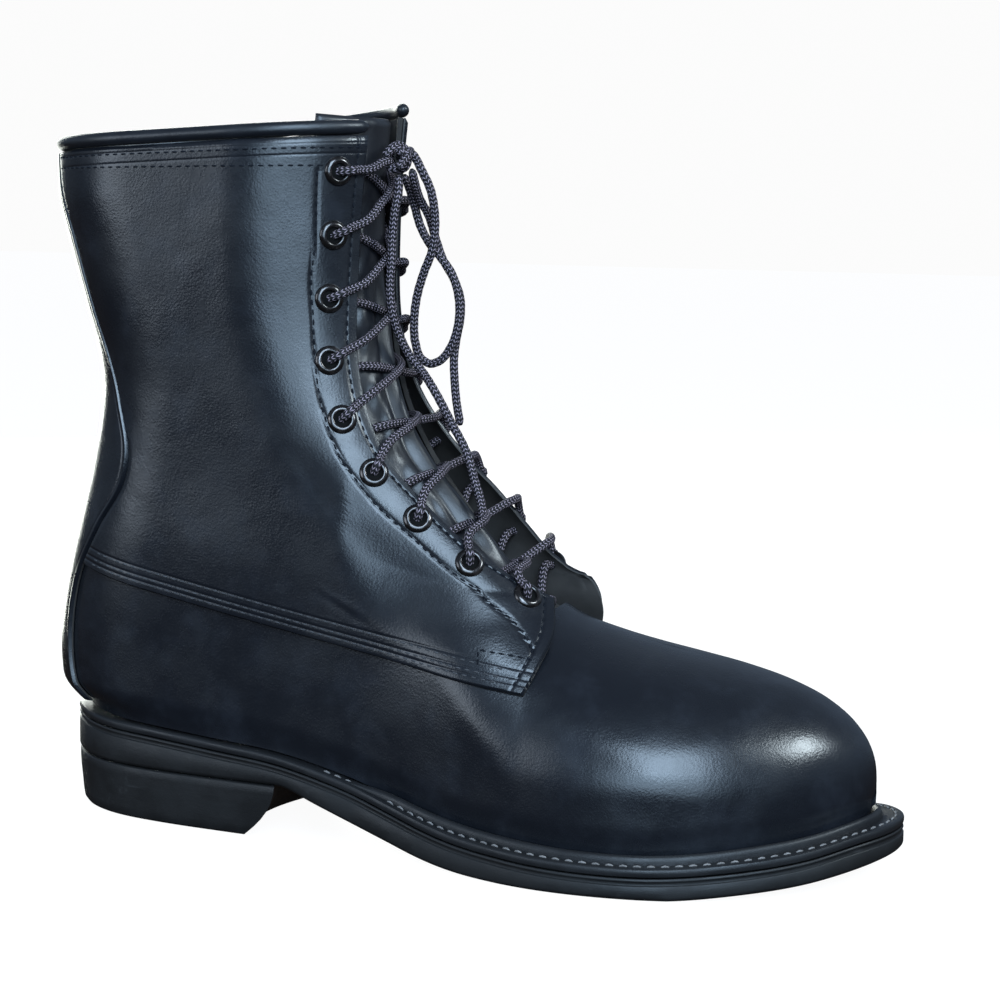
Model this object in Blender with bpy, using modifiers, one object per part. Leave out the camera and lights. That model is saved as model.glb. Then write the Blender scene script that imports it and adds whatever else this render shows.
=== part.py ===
"""A lace-up combat boot for the right foot, as separate closed solids, in metres.

In the boot's own frame x runs forward from the back of the sole, y points to the inner side
of the foot and z is up from the floor. The parent empty puts the middle of the boot's box
over the origin. A side is -1 for the outer half of the boot and +1 for the inner half.
Tables hold shares of the sizes that their comments name.
"""

import math

import bmesh
import bpy
import numpy as np
from mathutils import Vector

# Driving sizes
LENGTH = 0.305  # the scale of the foot, from the back of the heel seat to the toe
SOLE_BACK = -0.0040  # back end of the outsole
SOLE_FRONT = 0.0042  # how far its front end lies past LENGTH
BALL_WIDTH = 0.112  # outsole, across the ball of the foot
HEIGHT = 0.245  # from the floor to the top of the shaft at the back
SEAT_HEIGHT = 0.038  # from the floor to the top of the welt at the heel
HEEL_HEIGHT = 0.020  # the block under the outsole
WALL = 0.0018  # the upper's own leather
OVERLAY = 0.0017  # leather of the quarters
BACKSTAY = 0.0019  # leather of the backstay
WELT = 0.003  # thickness of the welt
BEAD_WIDTH = 0.003  # raised bead of the welt, against the leather
BEAD_HEIGHT = 0.0028
WELT_REACH = 0.0070  # how far the welt runs in under the upper
INSOLE = 0.003
TONGUE = 0.0026
TONGUE_WIDTH = 0.060
BINDING = 0.0050  # diameter of the rolled collar edge
HEEL_TUCK = 0.0065  # how far the upper draws in over the sole, at the back
TOE_TUCK = 0.0016  # the same round the toe
FLAP_LIFT = 0.0062  # how far the lowest corner of a quarter stands off the vamp
EYELETS = 9  # on each side
EYELET_WIDTH = 0.0104
EYELET_HOLE = 0.0056
EYELET_RISE = 0.0013
EYELET_STEP = 0.09306 * HEIGHT  # from eyelet to eyelet, along the front edge
EYELET_FIRST = 0.0125  # from the top of the edge to the first eyelet
EYELET_SEAT = 0.0009  # under the ring, where the leather curves away
EYELET_BACK = 0.0115  # from the front edge to an eyelet's middle
LACE = 0.0031  # diameter
KNOT_WIDTH = 0.0092
CROSS_RISE = 0.0012  # how far the crossings stand off the tongue
FAR_END = 0.0045  # from a quarter's edge to the end of the run that goes under it
GAP = 0.0003  # between pieces that touch
WELT_GAP = 0.0005  # between the welt and the outsole, whose curves differ a little
SEAM_GAP = 0.0009  # between the upper's foot and the welt's bead
TONGUE_GAP = 0.0022  # between the upper's inner face and the tongue
CENTRE = (0.1502, -0.0043)  # middle of the boot's box in its own frame
CORD_STEP = 0.0078  # between the points of a cord's tube
LACE_STEP = 0.0062  # between the points of a crossing's tube
BINDING_STEP = 0.0085  # between the points of the collar's tube
RIM_OUTER = 0.004  # how far the collar rises towards the front, on the outer side
RIM_INNER = 0.011  # the same on the inner side
RIM_MIDDLE = 0.007  # the same for the lace between them
TONGUE_UNDER = 0.022  # how far the tongue runs on under the vamp
TONGUE_OVER = 0.010  # how far it stands up past the shaft's height
TIP_LEAN = 0.003  # from the quarter's tip back to the line under it
NARROW = 0.004  # least depth of the rounding along the front line
CROSS_LEAN = 0.0008  # half of the rise from one lace of a crossing to the other
BAR_RISE = 0.002  # how far above the lowest eyelets the bar runs
BAR_LIFT = 0.0009  # how far it stands off the tongue, which bends there
SOLE_ROUNDING = 0.0014  # at the outsole's lower edge
WELT_ROUNDING = 0.0006  # at the welt's outer edges
GROOVE = 0.0009  # depth of the groove round the outsole
GROOVE_DROPS = (0.0024, 0.0019, 0.0010, 0.0005)  # its edges, under the welt
INSOLE_INSET = 0.0014  # from the upper's inner face
INSOLE_ROUNDING = 0.0009
BEAD_FLAT = (0.0012, 0.0010)  # where the bead's lines run in under the heel, and their step

# How finely the forms are divided
SOLE_STATIONS = 24
BACKSTAY_COLUMNS = 3
QUARTER_COLUMNS = 8
VAMP_COLUMNS = 8
COUNTER_ROWS = 5
CORNER_ROWS = 4
SHAFT_ROWS = 10
EDGE_COLUMN = BACKSTAY_COLUMNS + QUARTER_COLUMNS
RIDGE_COLUMN = EDGE_COLUMN + VAMP_COLUMNS
CORNER_ROW = COUNTER_ROWS + CORNER_ROWS
TOP_ROW = CORNER_ROW + SHAFT_ROWS

# Outsole seen from above: along in its own length, outer and inner in BALL_WIDTH
SOLE_PLAN = (
    (0.00, 0.000, 0.000),
    (0.02, -0.125, 0.125),
    (0.05, -0.205, 0.212),
    (0.09, -0.263, 0.270),
    (0.16, -0.304, 0.302),
    (0.25, -0.326, 0.277),
    (0.35, -0.344, 0.238),
    (0.45, -0.388, 0.244),
    (0.55, -0.473, 0.321),
    (0.65, -0.533, 0.416),
    (0.75, -0.520, 0.458),
    (0.85, -0.425, 0.438),
    (0.92, -0.290, 0.375),
    (0.97, -0.125, 0.277),
    (1.00, 0.107, 0.107),
)
# Outsole seen from the side: along in its own length, under in HEEL_HEIGHT and top in SEAT_HEIGHT
SOLE_SIDE = (
    (0.000, 1.000, 1.000),
    (0.065, 1.000, 0.958),
    (0.148, 1.000, 0.929),
    (0.230, 1.000, 0.877),
    (0.318, 1.000, 0.805),
    (0.364, 0.750, 0.730),
    (0.410, 0.520, 0.642),
    (0.456, 0.310, 0.531),
    (0.498, 0.150, 0.440),
    (0.554, 0.030, 0.358),
    (0.607, 0.000, 0.322),
    (0.698, 0.000, 0.290),
    (0.793, 0.000, 0.297),
    (0.859, 0.089, 0.342),
    (0.925, 0.200, 0.408),
    (0.970, 0.325, 0.485),
    (1.000, 0.429, 0.513),
)
# Widest lines of the upper's foot: along in UPPER_TIP, outer, inner and middle in BALL_WIDTH
UPPER_TIP = 0.982  # the toe of the upper, in LENGTH
UPPER_PLAN = (
    (0.000, -0.299, 0.295, -0.009),
    (0.067, -0.302, 0.298, -0.006),
    (0.167, -0.311, 0.296, 0.004),
    (0.254, -0.315, 0.277, 0.012),
    (0.357, -0.321, 0.255, 0.018),
    (0.457, -0.344, 0.258, 0.030),
    (0.561, -0.411, 0.295, 0.045),
    (0.631, -0.455, 0.344, 0.058),
    (0.691, -0.473, 0.379, 0.071),
    (0.765, -0.458, 0.402, 0.086),
    (0.835, -0.395, 0.389, 0.098),
    (0.891, -0.302, 0.350, 0.103),
    (0.938, -0.196, 0.295, 0.106),
    (0.972, -0.084, 0.230, 0.107),
    (0.992, 0.010, 0.168, 0.107),
    (1.000, 0.107, 0.107, 0.107),
)
# Back of the upper's form: height in HEIGHT, along in LENGTH
BACK_LINE = (
    (0.150, -0.0115),
    (0.190, -0.0185),
    (0.232, -0.0220),
    (0.286, -0.0200),
    (0.347, -0.0115),
    (0.420, 0.0025),
    (0.514, 0.0215),
    (0.600, 0.0345),
    (0.653, 0.0375),
    (0.702, 0.0315),
    (0.759, 0.0180),
    (0.816, 0.0045),
    (0.865, -0.0070),
    (0.922, -0.0190),
    (0.971, -0.0205),
    (1.030, -0.0205),
)
# Toe, vamp ridge and front of the shaft: along in LENGTH, height in HEIGHT
FRONT_LINE = (
    (0.9820, 0.080),
    (0.9820, 0.128),
    (0.9795, 0.155),
    (0.9710, 0.181),
    (0.9530, 0.209),
    (0.9220, 0.237),
    (0.8790, 0.260),
    (0.8260, 0.278),
    (0.7700, 0.292),
    (0.7210, 0.304),
    (0.6750, 0.318),
    (0.6340, 0.335),
    (0.5990, 0.362),
    (0.5660, 0.402),
    (0.5310, 0.453),
    (0.4940, 0.506),
    (0.4545, 0.563),
    (0.4250, 0.624),
    (0.4060, 0.694),
    (0.3950, 0.776),
    (0.3920, 0.878),
    (0.3940, 0.971),
    (0.3990, 1.050),
)
# Shaft: height in HEIGHT, half widths and middle in BALL_WIDTH
SHAFT = (
    (0.240, 0.321, 0.314, 0.004),
    (0.410, 0.324, 0.317, 0.006),
    (0.530, 0.321, 0.321, 0.010),
    (0.650, 0.326, 0.326, 0.014),
    (0.816, 0.344, 0.344, 0.022),
    (1.050, 0.361, 0.361, 0.030),
)
# Backstay's front edge: height in HEIGHT, along in LENGTH
BACKSTAY_EDGE = (
    (0.160, 0.0335),
    (0.225, 0.0198),
    (0.286, 0.0187),
    (0.360, 0.0310),
    (0.437, 0.0663),
    (0.510, 0.1062),
    (0.547, 0.1128),
    (0.630, 0.0976),
    (0.767, 0.0560),
    (0.886, 0.0278),
    (0.951, 0.0099),
    (1.030, 0.0031),
)
# Half of the gap between the quarters: height on the ridge in HEIGHT, half gap in BALL_WIDTH
THROAT = (
    (0.340, 0.116),
    (0.390, 0.150),
    (0.450, 0.178),
    (0.530, 0.190),
    (0.650, 0.180),
    (0.816, 0.152),
    (1.030, 0.136),
)
# Lower front edge of a quarter, from its tip to the throat: along in LENGTH, height in HEIGHT
QUARTER_TIP = ((0.620, 0.250), (0.628, 0.278), (0.631, 0.303))
SEAM_BACK = 0.377  # height of the quarters' lower seam at the backstay, in HEIGHT
SEAM_SAG = 0.0015  # how far the seam dips below a straight line
CORNER = 0.350  # height on the ridge where the throat ends, in HEIGHT
BACK_SHARES = (0.0, 0.14, 0.32, 0.53, 0.76, 1.0)  # of the way from the sole to the seam
RIDGE_SHARES = (0.0, 0.085, 0.165, 0.265, 0.38, 0.50, 0.625, 0.75, 0.875, 1.0)
# Heel block from the side: its front, in LENGTH, at the floor and under the outsole
HEEL_FRONT = (0.262, 0.306)
HEEL_CURVE = 0.006  # how far the breast bows in, in plan
# Heel block: height in HEEL_HEIGHT, inset from the outsole's edge in metres
HEEL_LEVELS = ((0.0, 0.0030), (0.06, 0.0016), (0.35, 0.0009), (0.65, 0.0004), (0.985, 0.0001))

# Lace routes in the boot's own frame, in millimetres, chosen by hand
KNOT = (124.1, -1.0, 241.3)
LOOP_ROUTE = (
    (127.5, 4.2, 244.2),
    (128.8, 6.2, 240.9),
    (130.8, 6.6, 236.9),
    (132.9, 8.4, 231.5),
    (134.0, 10.2, 223.9),
    (133.9, 11.2, 215.8),
    (132.8, 11.2, 208.8),
    (129.4, 12.2, 201.2),
    (126.4, 13.2, 192.6),
    (124.9, 14.2, 183.6),
    (125.1, 15.2, 175.4),
    (126.9, 16.2, 170.0),
    (130.0, 17.2, 168.1),
    (134.0, 17.7, 169.5),
    (137.2, 18.2, 173.5),
    (139.9, 18.2, 180.0),
    (140.9, 18.2, 187.5),
    (140.3, 17.7, 194.6),
    (138.1, 17.2, 201.0),
    (134.0, 16.7, 206.6),
    (129.9, 16.2, 211.4),
    (127.1, 14.4, 217.4),
    (125.7, 12.2, 224.4),
    (125.4, 8.2, 230.4),
    (125.3, 3.2, 235.7),
)
END_1_ROUTE = (
    (125.9, -3.4, 235.5),
    (126.3, -4.4, 230.0),
    (125.3, -5.0, 223.8),
    (124.3, -5.0, 215.1),
    (124.1, -5.2, 205.7),
    (123.6, -5.2, 197.0),
    (124.1, -4.2, 187.6),
    (125.9, -1.2, 178.8),
    (128.4, 1.2, 172.4),
    (133.1, 2.2, 166.5),
    (139.7, -2.0, 160.0),
    (145.8, 0.0, 148.1),
    (150.9, 1.0, 138.5),
    (154.8, -0.8, 128.9),
    (159.1, -4.6, 120.3),
    (161.4, -8.4, 115.2),
)
END_2_ROUTE = (
    (129.9, -1.2, 237.7),
    (129.7, 2.0, 233.5),
    (129.0, 8.2, 227.9),
    (129.9, 15.2, 221.3),
    (130.5, 20.8, 212.8),
    (133.1, 21.7, 205.3),
    (136.9, 22.2, 199.0),
    (139.6, 22.2, 192.0),
    (139.7, 22.2, 184.5),
    (138.3, 22.2, 177.2),
    (137.8, 21.2, 170.1),
    (138.1, 21.2, 162.2),
    (139.0, 21.2, 153.9),
    (140.6, 21.2, 145.7),
)
MILLIMETRE = 0.001


def table(rows, size=1.0):
    """The columns of a table as arrays, the first one as it is and the others times a size."""
    columns = np.array(rows, float).T
    columns[1:] *= size
    return columns


def smooth(at, places, values):
    """A smooth curve through the rows of a table, read at one place or at many."""
    places, values = np.asarray(places, float), np.asarray(values, float)
    at = np.clip(np.asarray(at, float), places[0], places[-1])
    slope = np.gradient(values, places)
    i = np.clip(np.searchsorted(places, at) - 1, 0, len(places) - 2)
    span = places[i + 1] - places[i]
    t = (at - places[i]) / span
    rise = (t**3 - 2 * t**2 + t) * slope[i] + (t**3 - t**2) * slope[i + 1]
    return values[i] + (3 * t**2 - 2 * t**3) * (values[i + 1] - values[i]) + span * rise


def fade(value, low, high):
    """0 below low, 1 above high, and an even curve between."""
    t = np.clip((np.asarray(value, float) - low) / (high - low), 0, 1)
    return t * t * (3 - 2 * t)


def mix(a, b, share):
    return a + (b - a) * share


def unit(v):
    return v / np.maximum(np.linalg.norm(v, axis=-1, keepdims=True), 1e-12)


def round_end(share):
    """The height of a quarter ellipse, 0 at its tip and 1 from its middle on."""
    return np.sqrt(np.maximum(1 - (1 - np.clip(share, 0, 1)) ** 2, 0))


def dense(rows, scale, count=600):
    """Points close together on a smooth curve through a few, and the way along it."""
    points = np.array(rows, float) * scale
    steps = np.linalg.norm(np.diff(points, axis=0), axis=1)
    way = np.concatenate([[0], np.cumsum(steps)])
    at = np.linspace(0, way[-1], count)
    line = np.stack([smooth(at, way, points[:, c]) for c in range(points.shape[1])], axis=1)
    steps = np.linalg.norm(np.diff(line, axis=0), axis=1)
    return line, np.concatenate([[0], np.cumsum(steps)])


def turn(along):
    """A place along a foot as an angle, so that round ends read as even curves."""
    return np.arccos(np.clip(1 - 2 * np.asarray(along, float), -1, 1))


# The sole's own curves
SOLE_LENGTH = LENGTH + SOLE_FRONT - SOLE_BACK


def along_sole(x):
    return (np.asarray(x) - SOLE_BACK) / SOLE_LENGTH


def sole_edge(side, x):
    along, outer, inner = table(SOLE_PLAN, BALL_WIDTH)
    return smooth(turn(along_sole(x)), turn(along), outer if side < 0 else inner)


def sole_top(x):
    along, under, top = table(SOLE_SIDE, SEAT_HEIGHT)
    return smooth(along_sole(x), along, top)


def sole_under(x):
    along, under, top = table(SOLE_SIDE, HEEL_HEIGHT)
    return np.clip(smooth(along_sole(x), along, under), 0, HEEL_HEIGHT)


# The upper's own curves
FRONT, FRONT_WAY = dense(FRONT_LINE, (LENGTH, HEIGHT))
NECK = int(np.argmin(FRONT[:, 0]))  # where the shaft's front leans furthest back


def upper_plan(x, column):
    """One column of the upper's plan: 1 is the outer line, 2 the inner and 3 the middle."""
    rows = table(UPPER_PLAN, BALL_WIDTH)
    return smooth(turn(np.asarray(x) / (UPPER_TIP * LENGTH)), turn(rows[0]), rows[column])


def shaft(z, column):
    rows = table(SHAFT, BALL_WIDTH)
    return smooth(np.asarray(z) / HEIGHT, rows[0], rows[column])


def back_line(z):
    height, along = table(BACK_LINE, LENGTH)
    return smooth(np.asarray(z) / HEIGHT, height, along)


def backstay_edge(z):
    height, along = table(BACKSTAY_EDGE, LENGTH)
    return smooth(np.asarray(z) / HEIGHT, height, along)


def half_gap(z):
    height, gap = table(THROAT, BALL_WIDTH)
    return smooth(np.asarray(z) / HEIGHT, height, gap)


def ridge_height(x):
    return np.interp(x, FRONT[: NECK + 1, 0][::-1], FRONT[: NECK + 1, 1][::-1])


def front_reach(z):
    return np.interp(z, FRONT[:, 1], FRONT[:, 0])


def in_shaft(x, z):
    """0 in the foot and 1 in the shaft, with an even change at the ankle."""
    rise = fade(z, 0.18 * HEIGHT, 0.45 * HEIGHT)
    return rise * (1 - fade(x, 0.46 * LENGTH, 0.64 * LENGTH))


def middle(x, z):
    return mix(upper_plan(x, 3), shaft(z, 3), in_shaft(x, z))


def reach(side, x, z):
    """The upper's half width on one side where neither end narrows it."""
    foot = np.abs(upper_plan(x, 1 if side < 0 else 2) - upper_plan(x, 3))
    return mix(foot, shaft(z, 1 if side < 0 else 2), in_shaft(x, z))


def front_depth(x, z):
    """How far behind the front line the section reaches its full width."""
    foot = 0.65 * (ridge_height(x) - sole_top(x))
    return np.clip(foot, NARROW, 0.19 * HEIGHT)


def form_y(side, x, z):
    """y of the upper's outer face on one side, at a place of its side view."""
    x, z = np.asarray(x, float), np.asarray(z, float)
    above = np.maximum(ridge_height(x) - z, 1e-5)
    ahead = np.maximum(front_reach(z) - x, 1e-5)
    foot = 1 - fade(z, 0.49 * HEIGHT, 0.61 * HEIGHT)
    leg = 1 - fade(x, 0.60 * LENGTH, 0.77 * LENGTH)
    near = 1 / np.sqrt(foot / above**2 + leg / ahead**2 + 1e-12)
    front = round_end(near / front_depth(x, z))
    back = round_end((x - back_line(z)) / (0.138 * LENGTH))
    return middle(x, z) + side * reach(side, x, z) * front * back


def front_point(way, across, rise=0.0):
    """A point near the front line: a way along it, an offset to one side, and a rise off it."""
    spot = np.array([np.interp(way, FRONT_WAY, FRONT[:, c]) for c in (0, 1)])
    step = 0.004
    ends = [
        np.array([np.interp(way + s, FRONT_WAY, FRONT[:, c]) for c in (0, 1)]) for s in (-step, step)
    ]
    along = unit(ends[1] - ends[0])
    inward = np.array([-along[1], along[0]])
    depth = front_depth(spot[0], spot[1])
    deep = spot + inward * depth
    side = -1 if across < 0 else 1
    width = reach(side, deep[0], deep[1])
    sine = min(abs(across) / width, 1)
    cosine = math.sqrt(1 - sine * sine)
    place = spot + inward * depth * (1 - cosine)
    normal = np.array([-inward[0] * cosine / depth, side * sine / width, -inward[1] * cosine / depth])
    point = np.array([place[0], middle(*spot) + side * width * sine, place[1]])
    return point + unit(normal) * rise


def way_at_height(z):
    return float(np.interp(z, FRONT[:, 1], FRONT_WAY))


CORNER_WAY = way_at_height(CORNER * HEIGHT)
TOP_WAY = way_at_height(HEIGHT)


# The lattice that the upper and its overlays share
def edge_places(side):
    """Side view places of a quarter's front edge line, a row for each row of the lattice."""
    tip = np.array(QUARTER_TIP[0]) * (LENGTH, HEIGHT)
    foot = np.array([tip[0] - TIP_LEAN, sole_top(tip[0] - TIP_LEAN) + GAP])
    places = [mix(foot, tip, t) for t in np.linspace(0, 1, COUNTER_ROWS + 1)]
    ways = np.linspace(CORNER_WAY, TOP_WAY + (RIM_OUTER if side < 0 else RIM_INNER), SHAFT_ROWS + 1)
    throat = []
    for way in ways:
        z = float(np.interp(way, FRONT_WAY, FRONT[:, 1]))
        point = front_point(way, side * float(half_gap(z)))
        throat.append(point[[0, 2]])
    low = [np.array(row) * (LENGTH, HEIGHT) for row in QUARTER_TIP] + [throat[0]]
    line, way = dense(low, 1.0, 200)
    for t in np.linspace(0, 1, CORNER_ROWS + 1)[1:-1]:
        places.append(np.array([np.interp(t * way[-1], way, line[:, c]) for c in (0, 1)]))
    return np.array(places + throat)


def row_heights():
    """Height of each lattice row at the back."""
    seat = float(sole_top(0.0)) + GAP
    seam = SEAM_BACK * HEIGHT
    low = [mix(seat, seam, t) for t in BACK_SHARES]
    high = np.linspace(seam, HEIGHT - BINDING / 2, TOP_ROW - COUNTER_ROWS + 1)[1:]
    return np.array(low + list(high))


def lattice_side(side):
    """Points of one half of the upper's form, in columns from the back to the ridge."""
    heights = row_heights()
    edge = edge_places(side)
    stop = CORNER_WAY
    ridge = [np.interp(t * stop, FRONT_WAY, FRONT[:, 0]) for t in RIDGE_SHARES]
    ridge_z = [np.interp(t * stop, FRONT_WAY, FRONT[:, 1]) for t in RIDGE_SHARES]
    ridge_z[0] = float(sole_top(ridge[0])) + GAP
    grid = np.full((RIDGE_COLUMN + 1, TOP_ROW + 1, 3), np.nan)
    for row in range(TOP_ROW + 1):
        z = heights[row]
        back, stay = float(back_line(z)), float(backstay_edge(z))
        low = 1 - min(row / COUNTER_ROWS, 1)
        sag = SEAM_SAG * max(0, 1 - abs(row - COUNTER_ROWS) / COUNTER_ROWS)
        for column in range(RIDGE_COLUMN + 1):
            if column <= BACKSTAY_COLUMNS:
                t = 1 - math.cos(0.5 * math.pi * column / BACKSTAY_COLUMNS)
                x, height = mix(back, stay, t), z
            elif column <= EDGE_COLUMN:
                t = (column - BACKSTAY_COLUMNS) / QUARTER_COLUMNS
                x = mix(stay, edge[row, 0], t)
                straight = mix(z, edge[row, 1], t)
                above = mix(z - sole_top(stay), edge[row, 1] - sole_top(edge[row, 0]), t)
                height = mix(straight, sole_top(x) + above, low) - sag * math.sin(math.pi * t)
            elif row <= CORNER_ROW:
                t = math.sin(0.5 * math.pi * (column - EDGE_COLUMN) / VAMP_COLUMNS)
                x = mix(edge[row, 0], ridge[row], t)
                above = mix(edge[row, 1] - sole_top(edge[row, 0]), ridge_z[row] - sole_top(ridge[row]), t)
                height = sole_top(x) + above
            else:
                continue
            y = form_y(side, x, height)
            if column == 0 or column == RIDGE_COLUMN:
                y = middle(x, height)
            grid[column, row] = (x, y, height)
    return grid


def lattice():
    """The whole form: columns from the ridge round the outer side, the back and the inner side."""
    outer, inner = lattice_side(-1), lattice_side(1)
    return np.concatenate([outer[::-1], inner[1:]])


def lattice_normals(grid):
    """The outward direction at each point of the lattice."""
    columns, rows = grid.shape[:2]
    normals = np.full_like(grid, np.nan)
    for k in range(columns):
        for row in range(rows):
            if np.isnan(grid[k, row, 0]):
                continue
            before, after = k - 1, k + 1
            if row <= CORNER_ROW:
                before = before if before >= 0 else columns - 2
                after = after if after < columns else 1
            before = before if not np.isnan(grid[before, row, 0]) else k
            after = after if after < columns and not np.isnan(grid[after, row, 0]) else k
            below = max(row - 1, 0)
            over = row + 1 if row + 1 < rows and not np.isnan(grid[k, row + 1, 0]) else row
            across = unit(grid[after, row] - grid[before, row])
            up = unit(grid[k, over] - grid[k, below])
            normals[k, row] = unit(np.cross(up, across))
    return normals


def tucked(grid, normals):
    """The lattice drawn in over the sole."""
    height = grid[..., 2] - sole_top(grid[..., 0])
    amount = mix(HEEL_TUCK, TOE_TUCK, fade(grid[..., 0], 0, 0.22 * LENGTH))
    flat = normals * (1, 1, 0)
    return grid - flat * (amount * (1 - fade(height, 0, 0.05 * HEIGHT)))[..., None]


FORM = lattice()
FORM = tucked(FORM, lattice_normals(FORM))
NORMAL = lattice_normals(FORM)


def column_of(side, column):
    """Where a column of one side stands in the whole lattice."""
    return RIDGE_COLUMN + side * column


def flap_lift(column, row):
    """How far a quarter stands off the form, most at the lowest corner of its front edge."""
    near = max(0, 1 - (EDGE_COLUMN - column) / 3)
    down = min(1, max(0, (row - COUNTER_ROWS) / CORNER_ROWS))
    up = max(0, 1 - max(0, row - CORNER_ROW) / 7)
    return FLAP_LIFT * float(fade(near, 0, 1) * fade(down, 0, 1) * fade(up, 0, 1))


def quarter_point(side, column, row):
    """A point on a quarter's outer face, at whole or part places of the lattice."""
    c, r = min(int(column), EDGE_COLUMN - 1), min(int(row), TOP_ROW - 1)
    u, v = column - c, row - r
    point = np.zeros(3)
    for dc, across in ((0, 1 - u), (1, u)):
        for dr, up in ((0, 1 - v), (1, v)):
            k = column_of(side, c + dc)
            lift = GAP + OVERLAY + flap_lift(c + dc, r + dr)
            point += across * up * (FORM[k, r + dr] + NORMAL[k, r + dr] * lift)
    return point


def quarter_face(side, column, row, rise=0.0):
    """A point off a quarter's outer face, and the direction that the face looks in there."""
    step = 0.35
    right = quarter_point(side, min(column + step, EDGE_COLUMN), row)
    left = quarter_point(side, column - step, row)
    over = quarter_point(side, column, min(row + step, TOP_ROW))
    under = quarter_point(side, column, row - step)
    normal = unit(side * np.cross(over - under, right - left))
    return quarter_point(side, column, row) + normal * rise, normal


# Building objects
def clear_scene():
    for thing in list(bpy.data.objects):
        bpy.data.objects.remove(thing, do_unlink=True)


def material(name, colour, roughness, metallic=0.0):
    made = bpy.data.materials.new(name)
    made.use_nodes = True
    shader = made.node_tree.nodes["Principled BSDF"]
    shader.inputs["Base Color"].default_value = (*colour, 1)
    shader.inputs["Roughness"].default_value = roughness
    shader.inputs["Metallic"].default_value = metallic
    return made


def place(thing, finish):
    """Puts an object in the boot's collection, under its parent and with its material."""
    if not thing.data.materials:
        thing.data.materials.append(finish)
    for old in list(thing.users_collection):
        old.objects.unlink(thing)
    bpy.data.collections["combat_boot"].objects.link(thing)
    thing.parent = bpy.data.objects["combat_boot_frame"]
    return thing


def mesh_object(name, points, faces, finish):
    mesh = bpy.data.meshes.new(name)
    mesh.from_pydata([tuple(float(c) for c in p) for p in points], [], faces)
    work = bmesh.new()
    work.from_mesh(mesh)
    bmesh.ops.remove_doubles(work, verts=work.verts, dist=0.00005)
    work.to_mesh(mesh)
    work.free()
    mesh.update()
    mesh.shade_smooth()
    return place(bpy.data.objects.new(name, mesh), finish)


def sheet(name, cells, finish, thickness, offset, lift=None, foot=0.0):
    """A leather sheet over chosen cells of the lattice, thickened inward (-1) or outward (1).

    A foot above 0 starts the sheet that share of a row above the sole.
    """
    numbers, points, faces = {}, [], []

    def number(k, row):
        if (k, row) not in numbers:
            numbers[k, row] = len(points)
            rise = lift(abs(k - RIDGE_COLUMN), row) if lift else 0
            base = mix(FORM[k, 0], FORM[k, 1], foot) if row == 0 else FORM[k, row]
            points.append(base + NORMAL[k, row] * rise)
        return numbers[k, row]

    for k, row in cells:
        faces.append([number(k, row), number(k, row + 1), number(k + 1, row + 1), number(k + 1, row)])
    return thickened(mesh_object(name, points, faces, finish), thickness, offset)


def thickened(made, thickness, offset):
    shell = made.modifiers.new("Wall", "SOLIDIFY")
    shell.thickness = thickness
    shell.offset = offset
    shell.use_even_offset = False
    return made


def strips(count, first, flip):
    """Faces across a ring, from each pair of points on one side to their match on the other."""
    faces = []
    for i in range(count // 2):
        ring = [i, i + 1, (count - i - 1) % count, (count - i) % count]
        face = [first + n for n in dict.fromkeys(ring)]
        faces.append(face[::-1] if flip else face)
    return faces


def loft(name, rings, finish, joined=False):
    """A solid through rings of the same number of points, capped by strips or joined round."""
    count = len(rings[0])
    points = [p for ring in rings for p in ring]
    faces = []
    for r in range(len(rings) - 1 + joined):
        low, high = r * count, (r + 1) % len(rings) * count
        for i in range(count):
            j = (i + 1) % count
            faces.append([low + i, low + j, high + j, high + i])
    if not joined:
        faces += strips(count, 0, True) + strips(count, (len(rings) - 1) * count, False)
    return mesh_object(name, points, faces, finish)


def foot_ring(outline, heights, inset=0.0):
    """A closed ring in plan, drawn in by an inset, with its height read at each point."""
    after, before = np.roll(outline, -1, axis=0), np.roll(outline, 1, axis=0)
    along = unit(after - before)
    inward = np.stack([-along[:, 1], along[:, 0]], axis=1)
    moved = outline + inward * np.reshape(inset, (-1, 1))
    return np.column_stack([moved, heights(moved[:, 0])])


def stations(first, last):
    way = np.linspace(0, math.pi, SOLE_STATIONS + 1)
    return first + (last - first) * (1 - np.cos(way)) / 2


def sole_outline():
    """The outsole's edge, from the heel along the outer side to the toe and back."""
    x = stations(SOLE_BACK, SOLE_BACK + SOLE_LENGTH)
    outer = np.column_stack([x, sole_edge(-1, x)])
    inner = np.column_stack([x, sole_edge(1, x)])
    return np.concatenate([outer, inner[-2:0:-1]])


def feather_outline():
    """The line where the upper's outer face meets the welt, drawn in as the upper is."""
    z0 = float(sole_top(0.0)) + GAP
    x = stations(float(back_line(z0)), UPPER_TIP * LENGTH)
    z = sole_top(x) + GAP
    outer = np.column_stack([x, form_y(-1, x, z)])
    inner = np.column_stack([x, form_y(1, x, z)])
    outer[[0, -1], 1] = inner[[0, -1], 1] = middle(x[[0, -1]], z[[0, -1]])
    ring = np.concatenate([outer, inner[-2:0:-1]])
    amount = mix(HEEL_TUCK, TOE_TUCK, fade(ring[:, 0], 0, 0.22 * LENGTH))
    return foot_ring(ring, lambda at: 0 * at, amount)[:, :2]


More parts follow.
